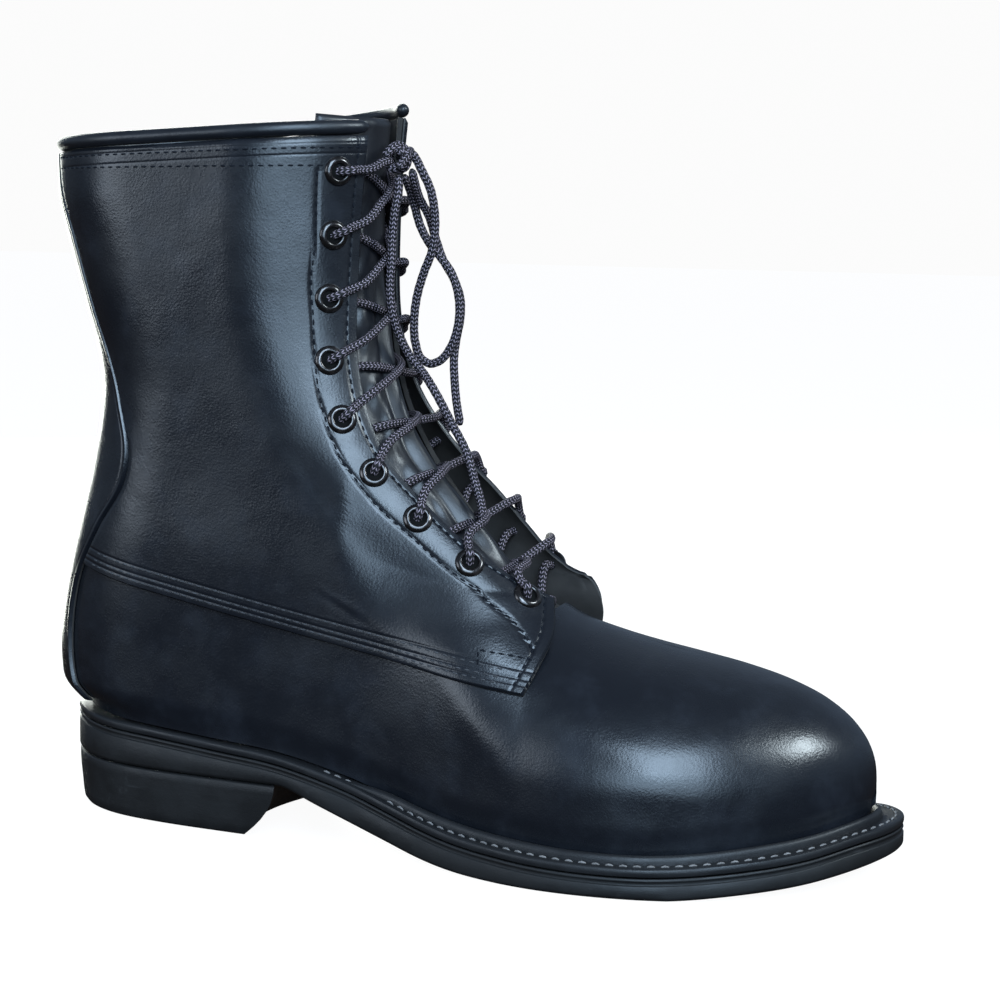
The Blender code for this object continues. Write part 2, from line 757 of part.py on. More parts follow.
def build_outsole(finish):
    """Bottom, a groove round the side, and a seat that stands up inside the welt."""
    edge, feather = sole_outline(), feather_outline()

    def below(drop):
        return lambda x: sole_top(x) - WELT - WELT_GAP - drop

    rings = [
        foot_ring(edge, sole_under, SOLE_ROUNDING),
        foot_ring(edge, lambda x: sole_under(x) + SOLE_ROUNDING, 0.0),
        foot_ring(edge, below(GROOVE_DROPS[0]), 0.0),
        foot_ring(edge, below(GROOVE_DROPS[1]), GROOVE),
        foot_ring(edge, below(GROOVE_DROPS[2]), GROOVE),
        foot_ring(edge, below(GROOVE_DROPS[3]), GROOVE * 0.2),
        foot_ring(edge, below(0.0), GROOVE * 0.2),
        foot_ring(feather, below(0.0), WELT_REACH + GAP),
        foot_ring(feather, lambda x: sole_top(x) - GAP, WELT_REACH + GAP),
    ]
    return loft("outsole", rings, finish)


def bead_share(x, low, high):
    """The bead is there along the foot, and the heel leaves it no room."""
    return fade(x, low * LENGTH, high * LENGTH)


def bead_rings(feather):
    """The bead's rings, outer foot to inner foot, which lie flat on the welt at the heel."""
    share = bead_share(feather[:, 0], 0.28, 0.37)
    offsets = (SEAM_GAP + BEAD_WIDTH * t for t in (1.0, 0.75, 0.25, 0.0))
    rings = []
    for i, offset in enumerate(offsets):
        height = BEAD_HEIGHT if i in (1, 2) else 0.0

        def level(x, height=height):
            return sole_top(x) + height * bead_share(x, 0.39, 0.47)

        rings.append(foot_ring(feather, level, mix(BEAD_FLAT[0] + BEAD_FLAT[1] * i, -offset, share)))
    return rings


def build_welt(finish):
    """A strip round the upper, flat outside and with a bead against the leather."""
    edge, feather = sole_outline(), feather_outline()
    outside = [
        foot_ring(edge, lambda x: sole_top(x) - WELT, WELT_ROUNDING),
        foot_ring(edge, lambda x: sole_top(x) - WELT / 2, 0.0),
        foot_ring(edge, sole_top, WELT_ROUNDING),
    ]
    inside = [
        foot_ring(feather, sole_top, WELT_REACH),
        foot_ring(feather, lambda x: sole_top(x) - WELT, WELT_REACH),
    ]
    return loft("welt", outside + bead_rings(feather) + inside, finish, joined=True)


def build_insole(finish):
    feather = feather_outline()
    inset = WALL + INSOLE_INSET
    rings = [
        foot_ring(feather, lambda x: sole_top(x) + GAP, inset + INSOLE_ROUNDING),
        foot_ring(feather, lambda x: sole_top(x) + INSOLE * 0.5, inset),
        foot_ring(feather, lambda x: sole_top(x) + INSOLE, inset + INSOLE_ROUNDING),
    ]
    return loft("insole", rings, finish)


def heel_ring(height, inset):
    """The heel block's outline at a height, with its breast bowed in at the front."""
    front = LENGTH * mix(HEEL_FRONT[0], HEEL_FRONT[1], float(round_end(height / HEEL_HEIGHT)) ** 2)
    way = np.linspace(0, 1, 13)
    x = SOLE_BACK + (front - SOLE_BACK) * (1 - np.cos(way * math.pi / 2)) + 0.0005
    outer = np.column_stack([x, sole_edge(-1, x) + inset])
    inner = np.column_stack([x, sole_edge(1, x) - inset])
    outer[:, 0] += inset * (1 - way) ** 2
    inner[:, 0] += inset * (1 - way) ** 2
    outer[0, 1] = inner[0, 1] = 0.0
    across = np.linspace(0, 1, 7)[1:-1]
    breast = np.column_stack([
        front - HEEL_CURVE * np.sin(math.pi * across),
        mix(outer[-1, 1], inner[-1, 1], across),
    ])
    ring = np.concatenate([outer, breast, inner[:0:-1]])
    return np.column_stack([ring, np.full(len(ring), height)])


def build_heel(finish):
    """A block with flat top and bottom, drawn in towards the floor."""
    rings = [heel_ring(share * HEEL_HEIGHT, inset) for share, inset in HEEL_LEVELS]
    count = len(rings[0])
    points = [p for ring in rings for p in ring]
    faces = [list(range(count))[::-1], [count * (len(rings) - 1) + i for i in range(count)]]
    for r in range(len(rings) - 1):
        for i in range(count):
            j = (i + 1) % count
            faces.append([r * count + i, r * count + j, (r + 1) * count + j, (r + 1) * count + i])
    return mesh_object("heel", points, faces, finish)


def upper_cells():
    """Every cell of the lattice that the upper covers, which leaves the throat open."""
    return [
        (k, row)
        for k in range(2 * RIDGE_COLUMN)
        for row in range(TOP_ROW)
        if row < CORNER_ROW or abs(k + 0.5 - RIDGE_COLUMN) < EDGE_COLUMN
    ]


def build_upper(finish):
    return sheet("upper", upper_cells(), finish, WALL, -1)


def build_quarter(side, finish):
    """An overlay from the backstay to the throat, which stands off the vamp at its corner."""
    first = column_of(side, BACKSTAY_COLUMNS if side > 0 else EDGE_COLUMN)
    cells = [(k, row) for k in range(first, first + QUARTER_COLUMNS) for row in range(COUNTER_ROWS, TOP_ROW)]
    name = "quarter_lateral" if side < 0 else "quarter_medial"

    def lift(column, row):
        return GAP + flap_lift(column, row)

    made = sheet(name, cells, finish, OVERLAY, 1, lift)
    narrow_edge(made, side)
    return made


def narrow_edge(made, side):
    """Draws a quarter's back edge clear of the backstay."""
    for row in range(COUNTER_ROWS, TOP_ROW + 1):
        k = column_of(side, BACKSTAY_COLUMNS)
        ahead = column_of(side, BACKSTAY_COLUMNS + 1)
        old = Vector(FORM[k, row] + NORMAL[k, row] * GAP)
        step = unit(FORM[ahead, row] - FORM[k, row]) * GAP
        for vertex in made.data.vertices:
            if (vertex.co - old).length < 0.0002:
                vertex.co += Vector(step)


def build_backstay(finish):
    columns = range(column_of(-1, BACKSTAY_COLUMNS), column_of(1, BACKSTAY_COLUMNS))
    cells = [(k, row) for k in columns for row in range(TOP_ROW)]
    return sheet("backstay", cells, finish, BACKSTAY, 1, lambda column, row: GAP, foot=0.45)


def tube(name, route, radius, finish, step=CORD_STEP, sides=2):
    """A round cord along a smooth curve through hand-chosen points."""
    line, way = dense(route, 1.0)
    count = max(6, int(round(way[-1] / step)) + 1)
    at = np.linspace(0, way[-1], count)
    curve = bpy.data.curves.new(name, "CURVE")
    curve.dimensions = "3D"
    curve.bevel_depth = radius
    curve.bevel_resolution = sides
    curve.use_fill_caps = True
    spline = curve.splines.new("POLY")
    spline.points.add(count - 1)
    for i in range(count):
        point = [float(np.interp(at[i], way, line[:, c])) for c in range(3)]
        spline.points[i].co = (*point, 1)
    return place(bpy.data.objects.new(name, curve), finish)


def build_binding(finish):
    """The rolled edge, which follows the top row of the lattice over the leather."""
    centre = (OVERLAY + GAP - WALL) / 2
    rim = []
    for column in range(-EDGE_COLUMN, EDGE_COLUMN + 1):
        k = RIDGE_COLUMN + column
        point = FORM[k, TOP_ROW] + NORMAL[k, TOP_ROW] * centre
        highest = max(0.0, abs(NORMAL[k, TOP_ROW, 2])) * (OVERLAY + WALL) / 2
        rim.append(point + np.array([0, 0, BINDING / 2 + GAP + highest]))
    return tube("collar_binding", rim, BINDING / 2, finish, BINDING_STEP)


def build_tongue(finish):
    """A curved piece behind the throat, from under the vamp up to the collar."""
    first, last = CORNER_WAY - TONGUE_UNDER, TOP_WAY + TONGUE_OVER
    ways = np.linspace(first, last, 13)
    across = np.linspace(-0.5, 0.5, 8) * TONGUE_WIDTH
    points, faces = [], []
    for way in ways:
        for y in across:
            points.append(front_point(way, y, -WALL - TONGUE_GAP))
    wide = len(across)
    for i in range(len(ways) - 1):
        for j in range(wide - 1):
            a = i * wide + j
            faces.append([a, a + 1, a + wide + 1, a + wide])
    return thickened(mesh_object("tongue", points, faces, finish), TONGUE, -1)


# Eyelets and laces
def edge_ways(side):
    """The way down a quarter's front edge from its top, for each row of the lattice."""
    k = column_of(side, EDGE_COLUMN)
    line = FORM[k, CORNER_ROW:][::-1]
    return np.concatenate([[0], np.cumsum(np.linalg.norm(np.diff(line, axis=0), axis=1))])


def eyelet_place(side, number, back=EYELET_BACK):
    """Column and row of an eyelet's middle, or of another place the same way behind the edge."""
    ways = edge_ways(side)
    way = EYELET_FIRST + EYELET_STEP * number
    row = TOP_ROW - float(np.interp(way, ways, np.arange(len(ways))))
    gone, column = 0.0, float(EDGE_COLUMN)
    previous = quarter_face(side, column, row)[0]
    while gone < back and column > BACKSTAY_COLUMNS:
        column -= 0.05
        point = quarter_face(side, column, row)[0]
        gone += float(np.linalg.norm(point - previous))
        previous = point
    return column, row


def eyelet_profile():
    """Half of the ring's section, from the hole over its dome to the rim."""
    hole, rim = EYELET_HOLE / 2, EYELET_WIDTH / 2
    return (
        (hole, 0.0),
        (mix(hole, rim, 0.15), EYELET_RISE),
        (mix(hole, rim, 0.75), EYELET_RISE * 0.8),
        (rim, 0.0),
    )


def build_eyelet(side, number, finish):
    name = f"eyelet_{'lateral' if side < 0 else 'medial'}_{number + 1}"
    mesh = bpy.data.meshes.new(name)
    profile = eyelet_profile()
    count = len(profile)
    edges = [(i, (i + 1) % count) for i in range(count)]
    mesh.from_pydata([(r, 0, z) for r, z in profile], edges, [])
    made = place(bpy.data.objects.new(name, mesh), finish)
    spin = made.modifiers.new("Turn", "SCREW")
    spin.steps = spin.render_steps = 10
    spin.use_merge_vertices = True
    spin.merge_threshold = 0.00001
    spin.use_normal_flip = False
    point, normal = quarter_face(side, *eyelet_place(side, number), EYELET_SEAT)
    made.location = Vector(point)
    made.rotation_euler = Vector(normal).to_track_quat("Z", "Y").to_euler()
    return made


def throat_way(side, number):
    """The way along the front line at an eyelet's row."""
    row = eyelet_place(side, number)[1]
    return CORNER_WAY + (row - CORNER_ROW) / SHAFT_ROWS * (TOP_WAY + RIM_MIDDLE - CORNER_WAY)


def diagonal(side, number, lean):
    """A lace's run from beside a lower eyelet, over the edge and across to the next pair."""
    low_row = eyelet_place(side, number)[1]
    column = eyelet_place(side, number, EYELET_BACK - EYELET_WIDTH / 2 - GAP * 5)[0]
    over = GAP * 3 + LACE / 2
    start = quarter_face(side, column, low_row, over)[0]
    edge = quarter_face(side, EDGE_COLUMN, low_row + 0.12, over)[0]
    low, high = throat_way(side, number), throat_way(-side, number - 1)
    resting = LACE / 2 + GAP - WALL - TONGUE_GAP + CROSS_RISE
    gap = float(half_gap(np.interp(high, FRONT_WAY, FRONT[:, 1])))
    flap = 0.95 * flap_lift(EDGE_COLUMN, low_row)
    near = front_point(mix(low, high, 0.30), side * gap * 0.56, resting + lean + CROSS_RISE + flap)
    centre = front_point(mix(low, high, 0.5), side * 1e-6, resting + lean)
    far = front_point(mix(low, high, 0.86), -side * (gap - FAR_END), resting)
    return [start, edge, near, centre, far]


def lace_mesh(name, route):
    """A lace tube as a closed mesh, so that it can be joined to another."""
    made = tube(name, route, LACE / 2, bpy.data.materials["lace"], LACE_STEP, 1)
    bpy.context.view_layer.update()
    graph = bpy.context.evaluated_depsgraph_get()
    mesh = bpy.data.meshes.new_from_object(made.evaluated_get(graph))
    bpy.data.objects.remove(made, do_unlink=True)
    work = bmesh.new()
    work.from_mesh(mesh)
    bmesh.ops.remove_doubles(work, verts=work.verts, dist=0.00001)
    bmesh.ops.recalc_face_normals(work, faces=work.faces)
    work.to_mesh(mesh)
    work.free()
    return mesh


def build_cross(number, finish):
    """Two runs of lace that cross over the tongue, joined where they touch."""
    name = f"lace_cross_{number}"
    one = place(bpy.data.objects.new(name, lace_mesh("run", diagonal(-1, number, CROSS_LEAN))), finish)
    other = bpy.data.objects.new(f"{name}_cutter", lace_mesh("run", diagonal(1, number, -CROSS_LEAN)))
    bpy.data.collections["cutters"].objects.link(other)
    other.parent = one.parent
    other.hide_render = True
    other.display_type = "WIRE"
    union = one.modifiers.new("Joined", "BOOLEAN")
    union.operation = "UNION"
    union.solver = "EXACT"
    union.object = other
    return one


def build_bar(finish):
    """The lowest run, straight across the throat under the quarters' corners."""
    way = throat_way(-1, EYELETS - 1) + BAR_RISE
    out = float(half_gap(np.interp(way, FRONT_WAY, FRONT[:, 1]))) - FAR_END
    rise = LACE / 2 + GAP - WALL - TONGUE_GAP + BAR_LIFT
    route = [front_point(way, y, rise) for y in np.linspace(-out, out, 6)]
    return tube("lace_bar", route, LACE / 2, finish, LACE_STEP, 1)


def build_tie(side, finish):
    """The run from a top eyelet over the quarter's edge to the knot."""
    column = eyelet_place(side, 0, EYELET_BACK - EYELET_WIDTH / 2 - GAP * 3)[0]
    row = eyelet_place(side, 0)[1]
    start = quarter_face(side, column, row, GAP * 2 + LACE / 2)[0]
    edge = quarter_face(side, EDGE_COLUMN, row + 0.05, GAP * 4 + LACE / 2)[0]
    knot = np.array(KNOT) * MILLIMETRE
    towards = unit(edge - knot)
    end = knot + towards * (KNOT_WIDTH * 0.55 + GAP + LACE * 0.12)
    route = [start, edge, mix(edge, end, 0.5), end]
    name = "lace_tie_lateral" if side < 0 else "lace_tie_medial"
    return tube(name, route, LACE / 2, finish, LACE_STEP, 1)


def build_knot(finish):
    """The tied lump between the top eyelets."""
    mesh = bpy.data.meshes.new("lace_knot")
    work = bmesh.new()
    bmesh.ops.create_uvsphere(work, u_segments=10, v_segments=7, radius=KNOT_WIDTH / 2)
    bmesh.ops.scale(work, verts=work.verts, vec=(1.0, 1.1, 0.95))
    work.to_mesh(mesh)
    work.free()
    made = place(bpy.data.objects.new("lace_knot", mesh), finish)
    made.location = Vector(KNOT) * MILLIMETRE
    return made


def build_free_laces(finish):
    """The loop and the two ends that hang from the knot."""
    routes = {"lace_loop": LOOP_ROUTE, "lace_end_1": END_1_ROUTE, "lace_end_2": END_2_ROUTE}
    for name, route in routes.items():
        tube(name, np.array(route) * MILLIMETRE, LACE / 2, finish)


def build_all():
    clear_scene()
    boot = bpy.data.collections.new("combat_boot")
    cutters = bpy.data.collections.new("cutters")
    for group in (boot, cutters):
        bpy.context.scene.collection.children.link(group)
    frame = bpy.data.objects.new("combat_boot_frame", None)
    frame.location = (-CENTRE[0], -CENTRE[1], 0)
    boot.objects.link(frame)

    leather = material("leather", (0.012, 0.012, 0.014), 0.35)
    quarter_leather = material("quarter_leather", (0.012, 0.012, 0.014), 0.35)
    backstay_leather = material("backstay_leather", (0.012, 0.012, 0.014), 0.35)
    binding = material("binding", (0.015, 0.015, 0.016), 0.4)
    lining = material("tongue_leather", (0.02, 0.018, 0.017), 0.4)
    board = material("insole_board", (0.10, 0.07, 0.045), 0.8)
    rubber = material("rubber", (0.016, 0.016, 0.017), 0.6)
    heel_rubber = material("heel_rubber", (0.016, 0.016, 0.017), 0.6)
    welt = material("welt", (0.014, 0.014, 0.015), 0.5)
    enamel = material("enamel", (0.01, 0.01, 0.01), 0.25, 0.4)
    lace = material("lace", (0.02, 0.02, 0.021), 0.85)

    build_outsole(rubber)
    build_heel(heel_rubber)
    build_welt(welt)
    build_insole(board)
    build_upper(leather)
    for side in (-1, 1):
        build_quarter(side, quarter_leather)
        for number in range(EYELETS):
            build_eyelet(side, number, enamel)
    build_backstay(backstay_leather)
    build_binding(binding)
    build_tongue(lining)
    for number in range(1, EYELETS):
        build_cross(number, lace)
    build_bar(lace)
    for side in (-1, 1):
        build_tie(side, lace)
    build_knot(lace)
    build_free_laces(lace)


build_all()
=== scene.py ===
"""Looks of the combat boot: leather, stitching, eyelets, braided lace, welt and sole.

Shapes are made in the boot's own frame, as in the CAD source, and moved by SHIFT into the
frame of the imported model. A place on the upper is a signed column, negative on the outer
side, and a row, in the units of the CAD lattice.
"""

import math

import bpy
import numpy as np
from mathutils import Matrix, Vector


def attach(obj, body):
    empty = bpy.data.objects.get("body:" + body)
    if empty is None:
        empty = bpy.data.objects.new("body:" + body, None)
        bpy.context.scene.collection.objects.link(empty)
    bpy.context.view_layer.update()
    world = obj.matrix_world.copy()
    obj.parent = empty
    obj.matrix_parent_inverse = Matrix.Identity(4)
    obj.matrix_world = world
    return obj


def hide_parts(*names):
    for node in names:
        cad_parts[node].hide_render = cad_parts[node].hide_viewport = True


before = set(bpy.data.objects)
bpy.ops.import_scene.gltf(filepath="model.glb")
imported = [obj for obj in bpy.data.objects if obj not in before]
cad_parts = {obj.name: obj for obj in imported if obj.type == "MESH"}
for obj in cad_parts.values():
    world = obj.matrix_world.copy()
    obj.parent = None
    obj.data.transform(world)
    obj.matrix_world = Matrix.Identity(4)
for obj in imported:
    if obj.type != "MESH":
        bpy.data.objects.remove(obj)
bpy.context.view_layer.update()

MM = 0.001  # lengths are in metres, and those of the looks in millimetres

# Driving sizes
LENGTH = 0.305  # the scale of the foot, from the back of the heel seat to the toe
SOLE_BACK = -0.0040  # back end of the outsole
SOLE_FRONT = 0.0042  # how far its front end lies past LENGTH
BALL_WIDTH = 0.112  # outsole, across the ball of the foot
HEIGHT = 0.245  # from the floor to the top of the shaft at the back
SEAT_HEIGHT = 0.038  # from the floor to the top of the welt at the heel
HEEL_HEIGHT = 0.020  # the block under the outsole
WALL = 0.0018  # the upper's own leather
OVERLAY = 0.0017  # leather of the quarters
BACKSTAY = 0.0019  # leather of the backstay
WELT = 0.003  # thickness of the welt
BEAD_WIDTH = 0.003  # raised bead of the welt, against the leather
BEAD_HEIGHT = 0.0028
WELT_REACH = 0.0070  # how far the welt runs in under the upper
TONGUE = 0.0026
TONGUE_WIDTH = 0.060
BINDING = 0.0050  # diameter of the rolled collar edge
HEEL_TUCK = 0.0065  # how far the upper draws in over the sole, at the back
TOE_TUCK = 0.0016  # the same round the toe
FLAP_LIFT = 0.0062  # how far the lowest corner of a quarter stands off the vamp
EYELETS = 9  # on each side
EYELET_WIDTH = 0.0104
EYELET_HOLE = 0.0056
EYELET_RISE = 0.0013
EYELET_STEP = 0.09306 * HEIGHT  # from eyelet to eyelet, along the front edge
EYELET_FIRST = 0.0125  # from the top of the edge to the first eyelet
EYELET_BACK = 0.0115  # from the front edge to an eyelet's middle
LACE = 0.0031  # diameter
LACE_WEAVE = 0.035  # how far its braid stands out, in radii
BRAID_PITCH = 1.55 * MM  # from fleck to fleck along the lace
BRAID_STRANDS = 5  # flecks round the lace
CROSS_RISE = 0.0012  # how far the crossings stand off the tongue
FAR_END = 0.0045  # from a quarter's edge to the end of the run that goes under it
GAP = 0.0003  # between pieces that touch
WELT_GAP = 0.0005  # between the welt and the outsole, whose curves differ a little
SEAM_GAP = 0.0009  # between the upper's foot and the welt's bead
TONGUE_GAP = 0.0022  # between the upper's inner face and the tongue
CENTRE = (0.1502, -0.0043)  # middle of the boot's box in its own frame
RIM_OUTER = 0.004  # how far the collar rises towards the front, on the outer side
RIM_INNER = 0.011  # the same on the inner side
RIM_MIDDLE = 0.007  # the same for the lace between them
TIP_LEAN = 0.003  # from the quarter's tip back to the line under it
NARROW = 0.004  # least depth of the rounding along the front line

# Outsole seen from above: along in its own length, outer and inner in BALL_WIDTH
SOLE_PLAN = (
    (0.00, 0.000, 0.000), (0.02, -0.125, 0.125), (0.05, -0.205, 0.212), (0.09, -0.263, 0.270),
    (0.16, -0.304, 0.302), (0.25, -0.326, 0.277), (0.35, -0.344, 0.238), (0.45, -0.388, 0.244),
    (0.55, -0.473, 0.321), (0.65, -0.533, 0.416), (0.75, -0.520, 0.458), (0.85, -0.425, 0.438),
    (0.92, -0.290, 0.375), (0.97, -0.125, 0.277), (1.00, 0.107, 0.107),
)
# Outsole seen from the side: along in its own length, under in HEEL_HEIGHT and top in SEAT_HEIGHT
SOLE_SIDE = (
    (0.000, 1.000, 1.000), (0.065, 1.000, 0.958), (0.148, 1.000, 0.929), (0.230, 1.000, 0.877),
    (0.318, 1.000, 0.805), (0.364, 0.750, 0.730), (0.410, 0.520, 0.642), (0.456, 0.310, 0.531),
    (0.498, 0.150, 0.440), (0.554, 0.030, 0.358), (0.607, 0.000, 0.322), (0.698, 0.000, 0.290),
    (0.793, 0.000, 0.297), (0.859, 0.089, 0.342), (0.925, 0.200, 0.408), (0.970, 0.325, 0.485),
    (1.000, 0.429, 0.513),
)
# Widest lines of the upper's foot: along in UPPER_TIP, outer, inner and middle in BALL_WIDTH
UPPER_TIP = 0.982  # the toe of the upper, in LENGTH
UPPER_PLAN = (
    (0.000, -0.299, 0.295, -0.009), (0.067, -0.302, 0.298, -0.006), (0.167, -0.311, 0.296, 0.004),
    (0.254, -0.315, 0.277, 0.012), (0.357, -0.321, 0.255, 0.018), (0.457, -0.344, 0.258, 0.030),
    (0.561, -0.411, 0.295, 0.045), (0.631, -0.455, 0.344, 0.058), (0.691, -0.473, 0.379, 0.071),
    (0.765, -0.458, 0.402, 0.086), (0.835, -0.395, 0.389, 0.098), (0.891, -0.302, 0.350, 0.103),
    (0.938, -0.196, 0.295, 0.106), (0.972, -0.084, 0.230, 0.107), (0.992, 0.010, 0.168, 0.107),
    (1.000, 0.107, 0.107, 0.107),
)
# Back of the upper's form: height in HEIGHT, along in LENGTH
BACK_LINE = (
    (0.150, -0.0115), (0.190, -0.0185), (0.232, -0.0220), (0.286, -0.0200), (0.347, -0.0115),
    (0.420, 0.0025), (0.514, 0.0215), (0.600, 0.0345), (0.653, 0.0375), (0.702, 0.0315), (0.759, 0.0180),
    (0.816, 0.0045), (0.865, -0.0070), (0.922, -0.0190), (0.971, -0.0205), (1.030, -0.0205),
)
# Toe, vamp ridge and front of the shaft: along in LENGTH, height in HEIGHT
FRONT_LINE = (
    (0.9820, 0.080), (0.9820, 0.128), (0.9795, 0.155), (0.9710, 0.181), (0.9530, 0.209), (0.9220, 0.237),
    (0.8790, 0.260), (0.8260, 0.278), (0.7700, 0.292), (0.7210, 0.304), (0.6750, 0.318), (0.6340, 0.335),
    (0.5990, 0.362), (0.5660, 0.402), (0.5310, 0.453), (0.4940, 0.506), (0.4545, 0.563), (0.4250, 0.624),
    (0.4060, 0.694), (0.3950, 0.776), (0.3920, 0.878), (0.3940, 0.971), (0.3990, 1.050),
)
# Shaft: height in HEIGHT, half widths and middle in BALL_WIDTH
SHAFT = (
    (0.240, 0.321, 0.314, 0.004), (0.410, 0.324, 0.317, 0.006), (0.530, 0.321, 0.321, 0.010),
    (0.650, 0.326, 0.326, 0.014), (0.816, 0.344, 0.344, 0.022), (1.050, 0.361, 0.361, 0.030),
)
# Backstay's front edge: height in HEIGHT, along in LENGTH
BACKSTAY_EDGE = (
    (0.160, 0.0335), (0.225, 0.0198), (0.286, 0.0187), (0.360, 0.0310), (0.437, 0.0663), (0.510, 0.1062),
    (0.547, 0.1128), (0.630, 0.0976), (0.767, 0.0560), (0.886, 0.0278), (0.951, 0.0099), (1.030, 0.0031),
)
# Half of the gap between the quarters: height on the ridge in HEIGHT, half gap in BALL_WIDTH
THROAT = (
    (0.340, 0.116), (0.390, 0.150), (0.450, 0.178), (0.530, 0.190), (0.650, 0.180), (0.816, 0.152),
    (1.030, 0.136),
)
# Lower front edge of a quarter, from its tip to the throat: along in LENGTH, height in HEIGHT
QUARTER_TIP = ((0.620, 0.250), (0.628, 0.278), (0.631, 0.303))
SEAM_BACK = 0.377  # height of the quarters' lower seam at the backstay, in HEIGHT
SEAM_SAG = 0.0015  # how far the seam dips below a straight line
CORNER = 0.350  # height on the ridge where the throat ends, in HEIGHT
BACK_SHARES = (0.0, 0.14, 0.32, 0.53, 0.76, 1.0)  # of the way from the sole to the seam
RIDGE_SHARES = (0.0, 0.085, 0.165, 0.265, 0.38, 0.50, 0.625, 0.75, 0.875, 1.0)
# Heel block from the side: its front, in LENGTH, at the floor and under the outsole
HEEL_FRONT = (0.262, 0.306)
HEEL_CURVE = 0.006  # how far the breast bows in, in plan

# Lace routes in the boot's own frame, in millimetres
KNOT = (124.1, -1.0, 241.3)
LOOP_ROUTE = (
    (127.5, 4.2, 244.2), (128.8, 6.2, 240.9), (130.8, 6.6, 236.9), (132.9, 8.4, 231.5),
    (134.0, 10.2, 223.9), (133.9, 11.2, 215.8), (132.8, 11.2, 208.8), (129.4, 12.2, 201.2),
    (126.4, 13.2, 192.6), (124.9, 14.2, 183.6), (125.1, 15.2, 175.4), (126.9, 16.2, 170.0),
    (130.0, 17.2, 168.1), (134.0, 17.7, 169.5), (137.2, 18.2, 173.5), (139.9, 18.2, 180.0),
    (140.9, 18.2, 187.5), (140.3, 17.7, 194.6), (138.1, 17.2, 201.0), (134.0, 16.7, 206.6),
    (129.9, 16.2, 211.4), (127.1, 14.4, 217.4), (125.7, 12.2, 224.4), (125.4, 8.2, 230.4),
    (125.3, 3.2, 235.7),
)
END_1_ROUTE = (
    (125.9, -3.4, 235.5), (126.3, -4.4, 230.0), (125.3, -5.0, 223.8), (124.3, -5.0, 215.1),
    (124.1, -5.2, 205.7), (123.6, -5.2, 197.0), (124.1, -4.2, 187.6), (125.9, -1.2, 178.8),
    (128.4, 1.2, 172.4), (133.1, 2.2, 166.5), (139.7, -2.0, 160.0), (145.8, 0.0, 148.1),
    (150.9, 1.0, 138.5), (154.8, -0.8, 128.9), (159.1, -4.6, 120.3), (161.4, -8.4, 115.2),
)
END_2_ROUTE = (
    (129.9, -1.2, 237.7), (129.7, 2.0, 233.5), (129.0, 8.2, 227.9), (129.9, 15.2, 221.3),
    (130.5, 20.8, 212.8), (133.1, 21.7, 205.3), (136.9, 22.2, 199.0), (139.6, 22.2, 192.0),
    (139.7, 22.2, 184.5), (138.3, 22.2, 177.2), (137.8, 21.2, 170.1), (138.1, 21.2, 162.2),
    (139.0, 21.2, 153.9), (140.6, 21.2, 145.7),
)

# Lines of the quarters in the side view, in millimetres
EYESTAY = (
    (106, 237.5), (105, 210), (104, 200), (105, 184), (107, 165), (111, 151), (120.7, 133.7), (132, 121),
    (145, 110.5), (159, 100), (170, 92.5), (181.5, 84.5), (189.5, 76.0),
)
BOXES = (((172.2, 76.2), (181.8, 74.8), (190.6, 73.3)), ((172.2, 75.8), (172.6, 73.4), (172.9, 71.2)))
QUARTER_CREASES = (  # side, rise, half width and line
    (-1, -0.26, 1.0, ((110.5, 90.8), (119.5, 86.4), (128.4, 81.0))),
    (-1, 0.20, 1.1, ((112.5, 92.4), (121, 88.2), (130.5, 82.8))),
    (-1, -0.20, 0.9, ((116, 91.8), (124.5, 86.8), (133, 80.8))),
    (-1, 0.18, 1.0, ((120, 90.0), (128, 85.0), (136, 79.2))),
    (-1, -0.26, 0.9, ((110.5, 145.6), (116.5, 144.2), (122.5, 143.6))),
    (-1, 0.18, 0.9, ((111.5, 142.9), (118, 141.6), (124.5, 141.2))),
    (-1, -0.24, 0.9, ((112.5, 139.9), (119, 138.4), (126, 138.0))),
    (-1, -0.18, 0.9, ((108, 161.6), (113, 160.5), (118, 160.8))),
    (1, -0.30, 2.4, ((95, 128), (108, 124), (121, 126))),
    (1, -0.24, 2.0, ((99, 110), (112, 106), (124, 104))),
)
SEAM_ROWS = (3.1, 5.2, 8.3)  # rows of stitches above the quarter's lower seam
COLLAR_ROWS = (2.3, 6.0)  # the same below the collar
FRONT_ROW = 4.5  # the row behind the throat's edge
LATTICE_ROW = 10.8  # height of one row of the lattice near the collar
EDGE_CLIMB = 0.30  # rows between a lace's nearest place on the edge and where it goes over


def table(rows, size=1.0):
    """The columns of a table as arrays, the first one as it is and the others times a size."""
    columns = np.array(rows, float).T
    columns[1:] *= size
    return columns


def smooth(at, places, values):
    """A smooth curve through the rows of a table, read at one place or at many."""
    places, values = np.asarray(places, float), np.asarray(values, float)
    at = np.clip(np.asarray(at, float), places[0], places[-1])
    slope = np.gradient(values, places)
    i = np.clip(np.searchsorted(places, at) - 1, 0, len(places) - 2)
    span = places[i + 1] - places[i]
    t = (at - places[i]) / span
    rise = (t**3 - 2 * t**2 + t) * slope[i] + (t**3 - t**2) * slope[i + 1]
    return values[i] + (3 * t**2 - 2 * t**3) * (values[i + 1] - values[i]) + span * rise


def fade(value, low, high):
    """0 below low, 1 above high, and an even curve between."""
    t = np.clip((np.asarray(value, float) - low) / (high - low), 0, 1)
    return t * t * (3 - 2 * t)


def mix(a, b, share):
    return a + (b - a) * share


def unit(v):
    return v / np.maximum(np.linalg.norm(v, axis=-1, keepdims=True), 1e-12)


def round_end(share):
    """The height of a quarter ellipse, 0 at its tip and 1 from its middle on."""
    return np.sqrt(np.maximum(1 - (1 - np.clip(share, 0, 1)) ** 2, 0))


